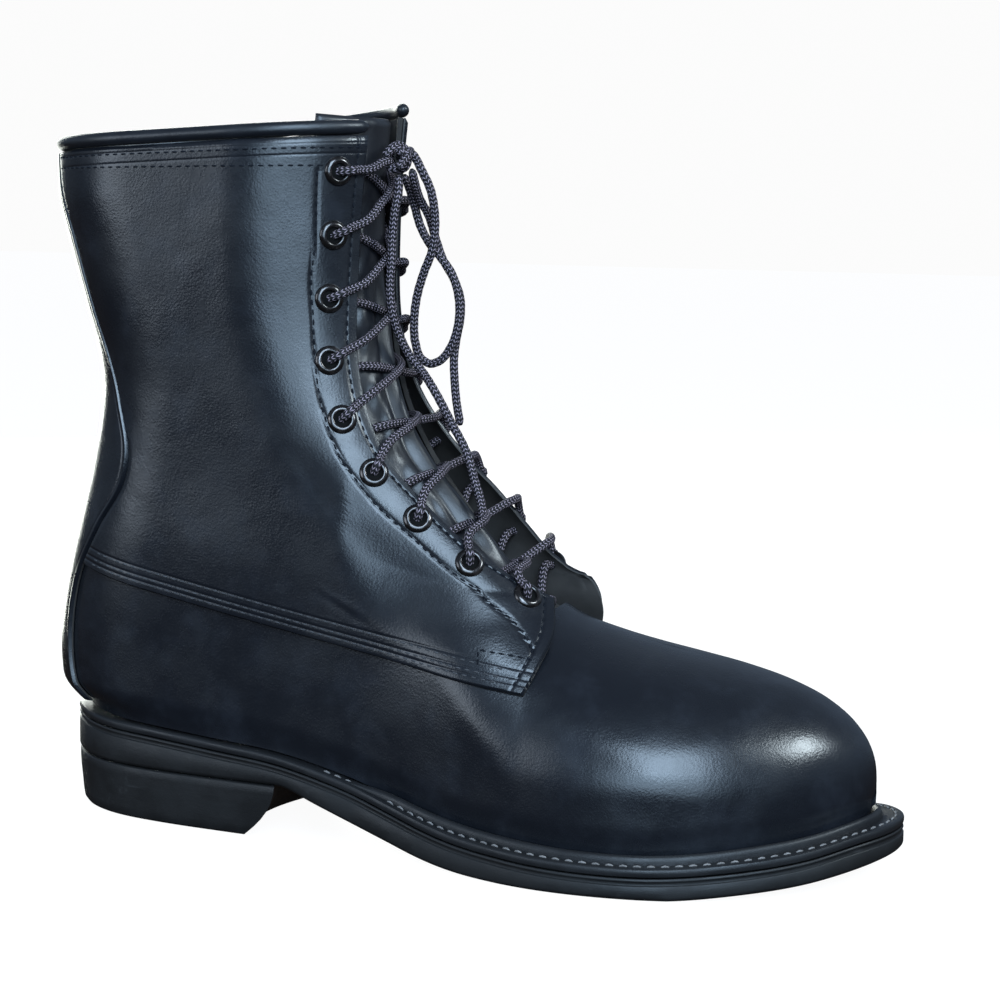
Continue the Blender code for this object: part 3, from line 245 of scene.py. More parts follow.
def way_along(line):
    """The way along a chain of points, from 0 at its first one."""
    return np.concatenate([[0], np.cumsum(np.linalg.norm(np.diff(line, axis=0), axis=1))])


def read_along(at, way, line):
    """Places on a chain of points at given ways along it."""
    return np.stack([np.interp(at, way, column) for column in line.T], axis=-1)


def dense(rows, scale, count=600):
    """Points close together on a smooth curve through a few, and the way along it."""
    points = np.array(rows, float) * scale
    way = way_along(points)
    at = np.linspace(0, way[-1], count)
    line = np.stack([smooth(at, way, column) for column in points.T], axis=1)
    return line, way_along(line)


def turn(along):
    """A place along a foot as an angle, so that round ends read as even curves."""
    return np.arccos(np.clip(1 - 2 * np.asarray(along, float), -1, 1))


# The sole's own curves
SOLE_LENGTH = LENGTH + SOLE_FRONT - SOLE_BACK


def along_sole(x):
    return (np.asarray(x) - SOLE_BACK) / SOLE_LENGTH


def sole_edge(side, x):
    along, outer, inner = table(SOLE_PLAN, BALL_WIDTH)
    return smooth(turn(along_sole(x)), turn(along), outer if side < 0 else inner)


def sole_top(x):
    along, _, top = table(SOLE_SIDE, SEAT_HEIGHT)
    return smooth(along_sole(x), along, top)


def sole_under(x):
    along, under, _ = table(SOLE_SIDE, HEEL_HEIGHT)
    return np.clip(smooth(along_sole(x), along, under), 0, HEEL_HEIGHT)


# The upper's own curves
FRONT, FRONT_WAY = dense(FRONT_LINE, (LENGTH, HEIGHT))
NECK = int(np.argmin(FRONT[:, 0]))  # where the shaft's front leans furthest back


def upper_plan(x, column):
    """One column of the upper's plan: 1 is the outer line, 2 the inner and 3 the middle."""
    rows = table(UPPER_PLAN, BALL_WIDTH)
    return smooth(turn(np.asarray(x) / (UPPER_TIP * LENGTH)), turn(rows[0]), rows[column])


def shaft(z, column):
    rows = table(SHAFT, BALL_WIDTH)
    return smooth(np.asarray(z) / HEIGHT, rows[0], rows[column])


def back_line(z):
    height, along = table(BACK_LINE, LENGTH)
    return smooth(np.asarray(z) / HEIGHT, height, along)


def backstay_edge(z):
    height, along = table(BACKSTAY_EDGE, LENGTH)
    return smooth(np.asarray(z) / HEIGHT, height, along)


def half_gap(z):
    height, gap = table(THROAT, BALL_WIDTH)
    return smooth(np.asarray(z) / HEIGHT, height, gap)


def ridge_height(x):
    return np.interp(x, FRONT[: NECK + 1, 0][::-1], FRONT[: NECK + 1, 1][::-1])


def front_reach(z):
    return np.interp(z, FRONT[:, 1], FRONT[:, 0])


def in_shaft(x, z):
    """0 in the foot and 1 in the shaft, with an even change at the ankle."""
    rise = fade(z, 0.18 * HEIGHT, 0.45 * HEIGHT)
    return rise * (1 - fade(x, 0.46 * LENGTH, 0.64 * LENGTH))


def middle(x, z):
    return mix(upper_plan(x, 3), shaft(z, 3), in_shaft(x, z))


def reach(side, x, z):
    """The upper's half width on one side where neither end narrows it."""
    foot = np.abs(upper_plan(x, 1 if side < 0 else 2) - upper_plan(x, 3))
    return mix(foot, shaft(z, 1 if side < 0 else 2), in_shaft(x, z))


def front_depth(x):
    """How far behind the front line the section reaches its full width."""
    foot = 0.65 * (ridge_height(x) - sole_top(x))
    return np.clip(foot, NARROW, 0.19 * HEIGHT)


def form_y(side, x, z):
    """y of the upper's outer face on one side, at a place of its side view."""
    x, z = np.asarray(x, float), np.asarray(z, float)
    above = np.maximum(ridge_height(x) - z, 1e-5)
    ahead = np.maximum(front_reach(z) - x, 1e-5)
    foot = 1 - fade(z, 0.49 * HEIGHT, 0.61 * HEIGHT)
    leg = 1 - fade(x, 0.60 * LENGTH, 0.77 * LENGTH)
    near = 1 / np.sqrt(foot / above**2 + leg / ahead**2 + 1e-12)
    front = round_end(near / front_depth(x))
    back = round_end((x - back_line(z)) / (0.138 * LENGTH))
    return middle(x, z) + side * reach(side, x, z) * front * back


def front_point(way, across, rise=0.0):
    """A point near the front line: a way along it, an offset to one side, and a rise off it."""
    step = 0.004
    before, spot, after = read_along(np.array([way - step, way, way + step]), FRONT_WAY, FRONT)
    along = unit(after - before)
    inward = np.array([-along[1], along[0]])
    depth = front_depth(spot[0])
    deep = spot + inward * depth
    side = -1 if across < 0 else 1
    width = reach(side, deep[0], deep[1])
    sine = min(abs(across) / width, 1)
    cosine = math.sqrt(1 - sine * sine)
    place = spot + inward * depth * (1 - cosine)
    normal = np.array([-inward[0] * cosine / depth, side * sine / width, -inward[1] * cosine / depth])
    point = np.array([place[0], middle(*spot) + side * width * sine, place[1]])
    return point + unit(normal) * rise


def way_at_height(z):
    return float(np.interp(z, FRONT[:, 1], FRONT_WAY))


CORNER_WAY = way_at_height(CORNER * HEIGHT)
TOP_WAY = way_at_height(HEIGHT)

SHIFT = np.array([-CENTRE[0], -CENTRE[1], 0.0])
COUNTER, CORNER_TOP, TOP = 5, 9, 19  # rows of the seam, of the throat's end and of the collar
STAY, EDGE, RIDGE = 3, 11, 19  # columns of the backstay's edge, of the throat's edge and of the ridge


# Camera at the photograph's viewing angle
def about_z(angle):
    sine, cosine = math.sin(angle), math.cos(angle)
    return np.array([[cosine, -sine, 0], [sine, cosine, 0], [0, 0, 1]])


def add_camera():
    pitch, roll, yaw = 0.1350874, 0.0134893, -0.3534032
    low, level = math.sin(pitch), math.cos(pitch)
    tilt = np.array([[1, 0, 0], [0, -low, -level], [0, level, -low]])
    right, down, ahead = about_z(roll) @ tilt @ about_z(yaw)
    data = bpy.data.cameras.new("camera")
    data.sensor_width = 36.0
    data.lens = 86.058
    data.shift_x, data.shift_y = -0.0064, 0.0109
    made = bpy.data.objects.new("camera", data)
    bpy.context.scene.collection.objects.link(made)
    turn_to = Matrix([[right[i], -down[i], -ahead[i]] for i in range(3)]).to_4x4()
    place = Vector((0.4568615, -0.7865371, 0.2323987)) + Vector(SHIFT)
    made.matrix_world = Matrix.Translation(place) @ turn_to
    bpy.context.scene.camera = made


# Node helpers
class Nodes:
    """A short way to write a material's nodes."""

    def __init__(self, name):
        self.made = bpy.data.materials.new(name)
        self.made.use_nodes = True
        self.tree = self.made.node_tree
        self.shader = self.tree.nodes["Principled BSDF"]

    def add(self, kind, **values):
        node = self.tree.nodes.new(kind)
        for key, value in values.items():
            setattr(node, key, value)
        return node

    def put(self, socket, value):
        if isinstance(value, bpy.types.NodeSocket):
            self.tree.links.new(value, socket)
        else:
            socket.default_value = value

    def math(self, operation, a, b=0.0, c=0.0):
        node = self.add("ShaderNodeMath", operation=operation)
        for socket, value in zip(node.inputs, (a, b, c)):
            self.put(socket, value)
        return node.outputs[0]

    def total(self, values):
        out = values[0]
        for value in values[1:]:
            out = self.math("ADD", out, value)
        return out

    def attribute(self, name):
        return self.add("ShaderNodeAttribute", attribute_name=name).outputs["Fac"]

    def place(self):
        return self.add("ShaderNodeTexCoord").outputs["Object"]

    def noise(self, scale, detail=2.0, rough=0.5, stretch=None):
        node = self.add("ShaderNodeTexNoise")
        where = self.place()
        if stretch:
            mapping = self.add("ShaderNodeMapping")
            self.put(mapping.inputs["Vector"], where)
            mapping.inputs["Scale"].default_value = stretch
            where = mapping.outputs[0]
        self.put(node.inputs["Vector"], where)
        node.inputs["Scale"].default_value = scale
        node.inputs["Detail"].default_value = detail
        node.inputs["Roughness"].default_value = rough
        return node.outputs[0]

    def grain(self, depth, *noise, **more):
        return self.math("MULTIPLY", self.noise(*noise, **more), depth)

    def cells(self, scale):
        node = self.add("ShaderNodeTexVoronoi", feature="F1")
        self.put(node.inputs["Vector"], self.place())
        node.inputs["Scale"].default_value = scale
        return node.outputs["Distance"]

    def spread(self, value, low, high, to_low=0.0, to_high=1.0):
        node = self.add("ShaderNodeMapRange", interpolation_type="SMOOTHSTEP")
        keys = ("Value", "From Min", "From Max", "To Min", "To Max")
        for key, item in zip(keys, (value, low, high, to_low, to_high)):
            self.put(node.inputs[key], item)
        return node.outputs[0]

    def blend(self, share, one, other):
        node = self.add("ShaderNodeMix", data_type="RGBA")
        self.put(node.inputs[0], share)
        self.put(node.inputs[6], (*one, 1) if isinstance(one, tuple) else one)
        self.put(node.inputs[7], (*other, 1) if isinstance(other, tuple) else other)
        return node.outputs[2]

    def trough(self, name, places, width, depth):
        """Height of soft grooves along lines at given distances, in millimetres, of an attribute."""
        parts = []
        for spot in places:
            off = self.math("DIVIDE", self.math("SUBTRACT", self.attribute(name), spot), width)
            square = self.math("MULTIPLY", off, off)
            parts.append(self.math("POWER", math.e, self.math("MULTIPLY", square, -1.0)))
        return self.math("MULTIPLY", self.total(parts), -depth)

    def bump(self, height):
        node = self.add("ShaderNodeBump")
        node.inputs["Strength"].default_value = 1.0
        node.inputs["Distance"].default_value = 1.0
        self.put(node.inputs["Height"], height)
        self.put(self.shader.inputs["Normal"], node.outputs[0])

    def set(self, **values):
        names = {"colour": "Base Color", "rough": "Roughness", "metal": "Metallic", "coat": "Coat Weight",
                 "coat_rough": "Coat Roughness", "gloss": "Specular IOR Level"}
        for key, value in values.items():
            socket = self.shader.inputs[names[key]]
            if isinstance(value, tuple) and len(value) == 3:
                value = (*value, 1)
            self.put(socket, value)
        return self.made


def leather(name, grooves=(), grain=1.0, rough=(0.22, 0.34), colour=(0.0060, 0.0070, 0.0095), shine=0.55):
    n = Nodes(name)
    fine = n.grain(0.000035 * grain, 1500.0, 3.0, 0.6)
    pebble = n.math("MULTIPLY", n.cells(1150.0), 0.000028 * grain)
    rolling, broad = n.grain(0.00010, 95.0, 3.0, 0.55), n.grain(0.00055, 26.0)
    heights = [fine, pebble, rolling, broad]
    n.bump(n.total(heights + [n.trough(*groove) for groove in grooves]))
    n.set(rough=n.spread(n.noise(38.0, 4.0, 0.6), 0.3, 0.72, *rough), gloss=shine)
    dull = n.spread(n.noise(60.0, 3.0, 0.6), 0.45, 0.8)
    worn = tuple(c * 1.7 + 0.002 for c in colour)
    return n.set(colour=n.blend(dull, colour, worn))


def rubber(name, colour=(0.0085, 0.0083, 0.0085), rough=0.5, scuffs=0.5):
    n = Nodes(name)
    fine, wide = n.grain(0.00005, 2200.0, 2.0, 0.6), n.grain(0.00012, 180.0, 3.0, 0.55)
    n.bump(n.total([fine, wide, n.grain(0.00005, 420.0, stretch=(0.12, 0.12, 1.0))]))
    marks = n.math("MULTIPLY", n.spread(n.noise(70.0, 6.0, 0.75), 0.60, 0.74), scuffs)
    long_marks = n.noise(260.0, 3.0, 0.6, stretch=(0.15, 0.15, 1.0))
    scratch = n.math("MULTIPLY", n.spread(long_marks, 0.66, 0.76), scuffs)
    pale = tuple(c * 2.4 + 0.008 for c in colour)
    n.set(rough=n.spread(n.noise(50.0, 3.0, 0.6), 0.3, 0.7, rough - 0.1, rough + 0.12), gloss=0.35)
    return n.set(colour=n.blend(n.math("MAXIMUM", marks, scratch), colour, pale))


def braid(name):
    """Round braid: rows of pale slanting flecks on black, by length and turn of the UV map."""
    n = Nodes(name)
    uv = n.add("ShaderNodeUVMap").outputs[0]
    split = n.add("ShaderNodeSeparateXYZ")
    n.put(split.inputs[0], uv)
    across = n.math("FRACT", n.math("MULTIPLY", split.outputs[1], BRAID_STRANDS))
    off = n.math("ABSOLUTE", n.math("SUBTRACT", across, 0.5))
    pitches, slant = n.math("MULTIPLY", split.outputs[0], 1 / BRAID_PITCH), n.math("MULTIPLY", off, 1.5)
    along = n.math("FRACT", n.math("ADD", pitches, slant))
    length = n.math("MULTIPLY", n.spread(along, 0.0, 0.10), n.spread(along, 0.34, 0.46, 1.0, 0.0))
    width = n.math("MULTIPLY", n.spread(off, 0.07, 0.15), n.spread(off, 0.40, 0.47, 1.0, 0.0))
    fleck = n.math("MULTIPLY", length, width)
    weave = n.math("MULTIPLY", n.math("SINE", n.math("MULTIPLY", along, 2 * math.pi)), 0.00006)
    ridge = n.spread(off, 0.30, 0.5, 0.00012, 0.0)
    n.bump(n.total([weave, ridge, n.math("MULTIPLY", fleck, 0.00006)]))
    n.set(rough=0.7, gloss=0.3)
    return n.set(colour=n.blend(fleck, (0.0045, 0.0040, 0.0048), (0.30, 0.24, 0.28)))


def enamel(name):
    n = Nodes(name)
    n.bump(n.grain(0.00002, 900.0))
    worn = n.spread(n.noise(400.0, 3.0, 0.6), 0.5, 0.7)
    n.set(rough=0.22, metal=0.85, coat=0.6, coat_rough=0.1)
    return n.set(colour=n.blend(worn, (0.035, 0.031, 0.030), (0.10, 0.085, 0.08)))


def plain(name, colour, rough, gloss=0.4, texture=0.00003, scale=900.0):
    n = Nodes(name)
    n.bump(n.grain(texture, scale, 3.0, 0.6))
    n.set(rough=rough, gloss=gloss)
    vary = n.spread(n.noise(scale / 9, 3.0, 0.6), 0.35, 0.75)
    return n.set(colour=n.blend(vary, colour, tuple(c * 1.5 for c in colour)))


# Meshes
def add_mesh(name, points, faces, materials, replaces=(), smooth_angle=None, face_materials=None):
    mesh = bpy.data.meshes.new(name)
    points = np.asarray(points, float).reshape(-1, 3) + SHIFT
    mesh.from_pydata([tuple(p) for p in points], [], faces)
    for item in materials if isinstance(materials, (list, tuple)) else [materials]:
        mesh.materials.append(item)
    if face_materials is not None:
        mesh.polygons.foreach_set("material_index", face_materials)
    mesh.shade_smooth()
    if smooth_angle:
        mesh.set_sharp_from_angle(angle=math.radians(smooth_angle))
    mesh.update()
    made = bpy.data.objects.new(name, mesh)
    bpy.context.scene.collection.objects.link(made)
    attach(made, "root")
    if replaces:
        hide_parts(*replaces)
    return made


def attribute(made, name, values):
    layer = made.data.attributes.new(name, "FLOAT", "POINT")
    layer.data.foreach_set("value", np.asarray(values, float).ravel())


def ring_faces(count, low, high):
    """Four-sided faces between two rings of points, which start at two numbers."""
    return [[low + i, low + (i + 1) % count, high + (i + 1) % count, high + i] for i in range(count)]


def tube_mesh(path, radius, sides=12, weave=0.0):
    """Points, faces and UVs of a tube along a path, with round ends."""
    path = np.asarray(path, float)
    way = way_along(path)
    along = unit(np.gradient(path, axis=0))
    normal = np.cross(along[0], (0.13, 0.31, 0.94))
    normals = []
    for t in along:
        normal = unit(normal - t * np.dot(normal, t))
        normals.append(normal)
    normals = np.array(normals)
    binormals = np.cross(along, normals)
    scale = np.ones(len(path))
    for i, share in ((0, 0.45), (1, 0.85)):
        scale[i] = scale[-1 - i] = share
    points, faces, uvs = [], [], []
    for i, p in enumerate(path):
        for j in range(sides):
            a = 2 * math.pi * j / sides
            wave = 1 + weave * math.cos(2 * math.pi * way[i] / BRAID_PITCH + BRAID_STRANDS * a)
            spoke = math.cos(a) * normals[i] + math.sin(a) * binormals[i]
            points.append(p + radius * scale[i] * wave * spoke)
    for i, (here, there) in enumerate(zip(way[:-1], way[1:])):
        faces += ring_faces(sides, i * sides, (i + 1) * sides)
        for j in range(sides):
            one, other = j / sides, (j + 1) / sides
            uvs += [(here, one), (here, other), (there, other), (there, one)]
    last = (len(path) - 1) * sides
    faces += [list(range(sides))[::-1], [last + j for j in range(sides)]]
    uvs += [(0, 0)] * (2 * sides)
    return points, faces, uvs


def resample(path, step):
    path = np.asarray(path, float)
    way = way_along(path)
    count = max(4, int(round(way[-1] / step)) + 1)
    return read_along(np.linspace(0, way[-1], count), way, path)


def add_tube(name, path, radius, material, replaces=(), sides=12, weave=0.0, step=0.0011):
    points, faces, uvs = tube_mesh(resample(path, step), radius, sides, weave)
    made = add_mesh(name, points, faces, material, replaces)
    layer = made.data.uv_layers.new(name="UVMap")
    layer.data.foreach_set("uv", np.array(uvs, float).ravel())
    return made


def join_parts(name, parts, material, replaces=()):
    """One mesh from several lists of points and faces."""
    points, faces, first = [], [], 0
    for p, f in parts:
        points.append(np.asarray(p, float).reshape(-1, 3))
        faces += [[first + i for i in face] for face in f]
        first += len(points[-1])
    return add_mesh(name, np.concatenate(points), faces, material, replaces)


# The fine lattice
def spans(*parts):
    return np.unique(np.round(np.concatenate([np.linspace(a, b, n + 1) for a, b, n in parts]), 6))


COLS = spans((0, 2.8, 14), (2.8, 3.2, 6), (3.2, 10.7, 60), (10.7, 11, 8), (11, 19, 70))
ROWS = spans((0, 4.8, 32), (4.8, 5.3, 8), (5.3, 9, 30), (9, 18.6, 74), (18.6, 19, 5))


def fine_heights():
    seat = float(sole_top(0.0)) + GAP
    seam = SEAM_BACK * HEIGHT
    low = seat + (seam - seat) * smooth(np.minimum(ROWS, 5), range(6), BACK_SHARES)
    high = seam + (HEIGHT - BINDING / 2 - seam) * (ROWS - COUNTER) / (TOP - COUNTER)
    return np.where(ROWS <= COUNTER, low, high)


def fine_edge(side):
    tip = np.array(QUARTER_TIP[0]) * (LENGTH, HEIGHT)
    foot = np.array([tip[0] - TIP_LEAN, sole_top(tip[0] - TIP_LEAN) + GAP])
    top_way = TOP_WAY + (RIM_OUTER if side < 0 else RIM_INNER)

    def throat(way):
        z = float(np.interp(way, FRONT_WAY, FRONT[:, 1]))
        return front_point(way, side * float(half_gap(z)))[[0, 2]]

    low = [np.array(row) * (LENGTH, HEIGHT) for row in QUARTER_TIP] + [throat(CORNER_WAY)]
    line, way = dense(low, 1.0, 200)
    out = []
    for row in ROWS:
        if row <= COUNTER:
            out.append(mix(foot, tip, row / COUNTER))
        elif row < CORNER_TOP:
            t = (row - COUNTER) / (CORNER_TOP - COUNTER) * way[-1]
            out.append(read_along(t, way, line))
        else:
            out.append(throat(mix(CORNER_WAY, top_way, (row - CORNER_TOP) / (TOP - CORNER_TOP))))
    return np.array(out)


def fine_side(side):
    z = fine_heights()[None, :]
    edge = fine_edge(side)
    rows, cols = ROWS[None, :], COLS[:, None]
    stop = np.interp(np.minimum(ROWS, CORNER_TOP), range(10), RIDGE_SHARES) * CORNER_WAY
    ridge = np.interp(stop, FRONT_WAY, FRONT[:, 0])
    ridge_z = np.interp(stop, FRONT_WAY, FRONT[:, 1])
    back, stay = back_line(z), backstay_edge(z)
    low = 1 - np.minimum(rows / COUNTER, 1)
    sag = SEAM_SAG * np.maximum(0, 1 - np.abs(rows - COUNTER) / COUNTER)
    at_stay = mix(back, stay, 1 - np.cos(0.5 * np.pi * np.minimum(cols, STAY) / STAY))
    t = np.clip((cols - STAY) / (EDGE - STAY), 0, 1)
    at_quarter = mix(stay, edge[None, :, 0], t)
    straight = mix(z, edge[None, :, 1], t)
    above = mix(z - sole_top(stay), edge[None, :, 1] - sole_top(edge[None, :, 0]), t)
    quarter_z = mix(straight, sole_top(at_quarter) + above, low) - sag * np.sin(np.pi * t)
    u = np.sin(0.5 * np.pi * np.clip((cols - EDGE) / (RIDGE - EDGE), 0, 1))
    at_vamp = mix(edge[None, :, 0], ridge[None, :], u)
    floor_z = sole_top(edge[None, :, 0])
    crest_z = ridge_z[None, :] - sole_top(ridge)[None, :]
    vamp_z = sole_top(at_vamp) + mix(edge[None, :, 1] - floor_z, crest_z, u)
    x = np.where(cols <= STAY, at_stay, np.where(cols <= EDGE, at_quarter, at_vamp))
    height = np.where(cols <= STAY, z, np.where(cols <= EDGE, quarter_z, vamp_z))
    y = form_y(side, x, height)
    on_line = (cols == 0) | (cols == RIDGE)
    y = np.where(on_line, middle(x, height), y)
    out = np.stack([x, y, height], axis=-1)
    out[(cols > EDGE) & (rows > CORNER_TOP)] = np.nan
    return out


def fine_normals(grid):
    """Outward directions, from the neighbours of each point."""
    after, before = np.roll(grid, -1, axis=0), np.roll(grid, 1, axis=0)
    after[-1], before[0] = grid[1], grid[-2]
    after = np.where(np.isnan(after), grid, after)
    before = np.where(np.isnan(before), grid, before)
    over = np.concatenate([grid[:, 1:], grid[:, -1:]], axis=1)
    over = np.where(np.isnan(over), grid, over)
    under = np.concatenate([grid[:, :1], grid[:, :-1]], axis=1)
    return unit(np.cross(unit(over - under), unit(after - before)))


SIGNED = np.concatenate([-COLS[::-1], COLS[1:]])
FORM = np.concatenate([fine_side(-1)[::-1], fine_side(1)[1:]])


def tuck(x):
    """How far the upper's foot draws in over the sole."""
    return mix(HEEL_TUCK, TOE_TUCK, fade(x, 0, 0.22 * LENGTH))


def drawn_in(grid, normals):
    height = grid[..., 2] - sole_top(grid[..., 0])
    amount = tuck(grid[..., 0]) * (1 - fade(height, 0, 0.05 * HEIGHT))
    return grid - normals * (1, 1, 0) * amount[..., None]


FORM = drawn_in(FORM, fine_normals(FORM))
NORMAL = fine_normals(FORM)


def between(grid, s, r):
    """Values of a grid at signed columns and rows between its own."""
    s, r = np.clip(s, SIGNED[0], SIGNED[-1]), np.clip(r, 0, TOP)
    i = np.clip(np.searchsorted(SIGNED, s, side="right") - 1, 0, len(SIGNED) - 2)
    j = np.clip(np.searchsorted(ROWS, r, side="right") - 1, 0, len(ROWS) - 2)
    u = ((s - SIGNED[i]) / (SIGNED[i + 1] - SIGNED[i]))[..., None]
    v = ((r - ROWS[j]) / (ROWS[j + 1] - ROWS[j]))[..., None]

    def across(row):
        return np.where(u > 1e-9, mix(grid[i, row], np.nan_to_num(grid[i + 1, row]), u), grid[i, row])

    return mix(across(j), across(j + 1), v)


TOE = (np.abs(SIGNED)[:, None] > 18.2) & (ROWS[None, :] < 1.7)
NORMAL[TOE] = unit(FORM[TOE] * (1, 1, 0) - (0.262, 0.012, 0))

FAR_LIFT = 8.5 * MM  # how much further the inner quarter flares up beside the tongue


def flap(s, r):
    """How far a quarter stands off the form."""
    c = np.abs(s)
    near = np.maximum(0, 1 - (EDGE - c) / 3)
    down = np.clip((r - COUNTER) / (CORNER_TOP - COUNTER), 0, 1)
    up = np.maximum(0, 1 - np.maximum(0, r - CORNER_TOP) / 7)
    far = fade(r, 5.6, 9.4) * (1 - fade(r, 10.6, 15.6)) * (np.asarray(s) > 0)
    return fade(near, 0, 1) * (FLAP_LIFT * fade(down, 0, 1) * fade(up, 0, 1) + FAR_LIFT * far)


def on_quarter(s, r, rise=0.0):
    """Points on the quarter's outer face, raised off it, and its outward directions."""
    s, r = np.asarray(s, float), np.asarray(r, float)
    out = unit(between(NORMAL, s, r))
    lift = GAP + OVERLAY + flap(s, r) + rise
    return between(FORM, s, r) + out * np.reshape(lift, (*np.shape(s), 1)), out


def quarter_normal(side, c, r):
    """The direction of the quarter's face itself, which its flap tilts."""
    step = 0.25
    top, bottom = min(r + step, TOP), r - step
    up = on_quarter(side * c, top)[0] - on_quarter(side * c, bottom)[0]
    across = on_quarter(side * min(c + step, EDGE), r)[0] - on_quarter(side * (c - step), r)[0]
    return unit(np.cross(up, side * across))


def col_at(side, r, back):
    """The column at a distance behind the throat's edge, along a row."""
    c = np.linspace(EDGE, STAY, 160)
    line = on_quarter(side * c, np.full(len(c), r))[0]
    return float(np.interp(back, way_along(line), c))


def row_at(side, c, up, base=COUNTER):
    """The row at a distance above another, along a column."""
    r = np.linspace(base, TOP if up > 0 else COUNTER, 200)
    line = on_quarter(np.full(len(r), side * c), r)[0]
    return float(np.interp(abs(up), way_along(line), r))


def locate(side, x, z):
    """Signed column and row of the quarter's face at a place of the side view."""
    cols, rows = np.linspace(STAY, EDGE, 90), np.linspace(COUNTER, TOP, 130)
    c, r = np.meshgrid(cols, rows, indexing="ij")
    face = on_quarter(side * c, r)[0]
    k = np.unravel_index(np.argmin((face[..., 0] - x) ** 2 + (face[..., 2] - z) ** 2), c.shape)
    place = np.array([cols[k[0]], rows[k[1]]])
    step = 0.03

    def spot(column, row):
        return on_quarter(side * column, row)[0][[0, 2]]

    for _ in range(4):
        column, row = place
        along = (spot(column + step, row) - spot(column - step, row)) / (2 * step)
        up = (spot(column, row + step) - spot(column, row - step)) / (2 * step)
        off = np.array([x, z]) - spot(column, row)
        move = np.linalg.lstsq(np.stack([along, up], axis=1), off, rcond=None)[0]
        place = np.clip(place + np.clip(move, -0.3, 0.3), (STAY, COUNTER), (EDGE, TOP))
    return side * place[0], place[1]


def edge_row(side, down):
    """The row at a distance down the throat's edge from the collar."""
    r = np.linspace(TOP, CORNER_TOP, 300)
    line = between(FORM, np.full(len(r), float(side * EDGE)), r)
    return float(np.interp(down, way_along(line), r))


# Leather pieces
def doubled(values):
    return np.concatenate([np.ravel(values), np.ravel(values)])


def polyline_rise(base, lines):
    """Sum of soft troughs and ridges along short given lines of the side view, in metres."""
    total = np.zeros(base.shape[:2])
    for side, depth, width, line in lines:
        near = np.full(base.shape[:2], 1e9)
        share = np.zeros(base.shape[:2])
        pts = np.array(line, float) * MM
        for k in range(len(pts) - 1):
            a, b = pts[k], pts[k + 1]
            d = b - a
            px, pz = base[..., 0] - a[0], base[..., 2] - a[1]
            t = np.clip((px * d[0] + pz * d[1]) / (d @ d), 0, 1)
            dist = np.hypot(px - t * d[0], pz - t * d[1])
            closer = dist < near
            near = np.where(closer, dist, near)
            share = np.where(closer, (k + t) / (len(pts) - 1), share)
        ends = np.sin(np.pi * np.clip(share, 0.02, 0.98)) ** 0.6
        own = base[..., 1] * side > -0.004
        total += np.where(own, depth * MM * ends * np.exp(-((near / (width * MM)) ** 2)), 0)
    return total


def shell(name, outer, inner, faces, materials, replaces=(), angle=45):
    """A closed solid between two layers of points: outer faces, inner faces and rim."""
    count, f = len(outer), np.asarray(faces)
    edges = np.concatenate([f[:, [i, (i + 1) % 4]] for i in range(4)])
    rim = edges[~np.isin(edges[:, 1] * count + edges[:, 0], edges[:, 0] * count + edges[:, 1])]
    sides = np.stack([rim[:, 1], rim[:, 0], rim[:, 0] + count, rim[:, 1] + count], axis=-1)
    index = np.repeat([0, 1, 2], [len(f), len(f), len(sides)])
    faces = np.concatenate([f, f[:, ::-1] + count, sides]).tolist()
    return add_mesh(name, np.concatenate([outer, inner]), faces, materials, replaces, angle, index)


def block_faces(n):
    """Four-sided faces over a block of numbered points."""
    return np.stack([n[:-1, :-1], n[:-1, 1:], n[1:, 1:], n[1:, :-1]], axis=-1)


def sheet(name, outer, inner, materials, replaces, angle=45):
    """A closed solid between two blocks of points."""
    number = np.arange(outer.shape[0] * outer.shape[1]).reshape(outer.shape[:2])
    faces = block_faces(number).reshape(-1, 4)
    return shell(name, outer.reshape(-1, 3), inner.reshape(-1, 3), faces, materials, replaces, angle)


def add_upper(materials):
    """The whole wall, joined at the ridge, with the throat left open."""
    number = np.arange(FORM[..., 0].size).reshape(FORM.shape[:2])
    number[-1, ROWS <= CORNER_TOP] = number[0, ROWS <= CORNER_TOP]
    mid = np.abs(SIGNED[:-1] + SIGNED[1:]) / 2
    keep = (mid[:, None] < EDGE) | (ROWS[None, 1:] <= CORNER_TOP)
    used, faces = np.unique(block_faces(number)[keep], return_inverse=True)
    outer, inner = (layer.reshape(-1, 3)[used] for layer in (FORM, FORM - NORMAL * WALL))
    shell("upper_leather", outer, inner, faces.reshape(-1, 4), materials, ["upper"], 60)


def add_plate(name, s, r, lift, thick, materials, replaces, creases=(), rounding=1.0 * MM):
    """A closed piece of leather over a block of the lattice, with rounded edges."""
    c, q = np.meshgrid(s, r, indexing="ij")
    base, out = between(FORM, c, q), unit(between(NORMAL, c, q))
    across, up = np.zeros((len(s), len(r))), np.zeros((len(s), len(r)))
    across[1:] = np.cumsum(np.linalg.norm(np.diff(base, axis=0), axis=2), axis=0)
    up[:, 1:] = np.cumsum(np.linalg.norm(np.diff(base, axis=1), axis=2), axis=1)
    near = np.minimum(np.minimum(across, across[-1:] - across), np.minimum(up, up[:, -1:] - up))
    low = lift(c, q)
    rise = low + thick * (0.35 + 0.65 * round_end(near / rounding)) + polyline_rise(base, creases)
    outer, inner = base + out * rise[..., None], base + out * low[..., None]
    made = sheet(name, outer, inner, materials, replaces)
    front = across if s[0] <= -EDGE else across[-1:] - across
    ways = {"front": front, "back": across[-1:] - front, "seam": up, "top": up[:, -1:] - up}
    for word, way in ways.items():
        attribute(made, word, doubled(way) / MM)
    return made, outer


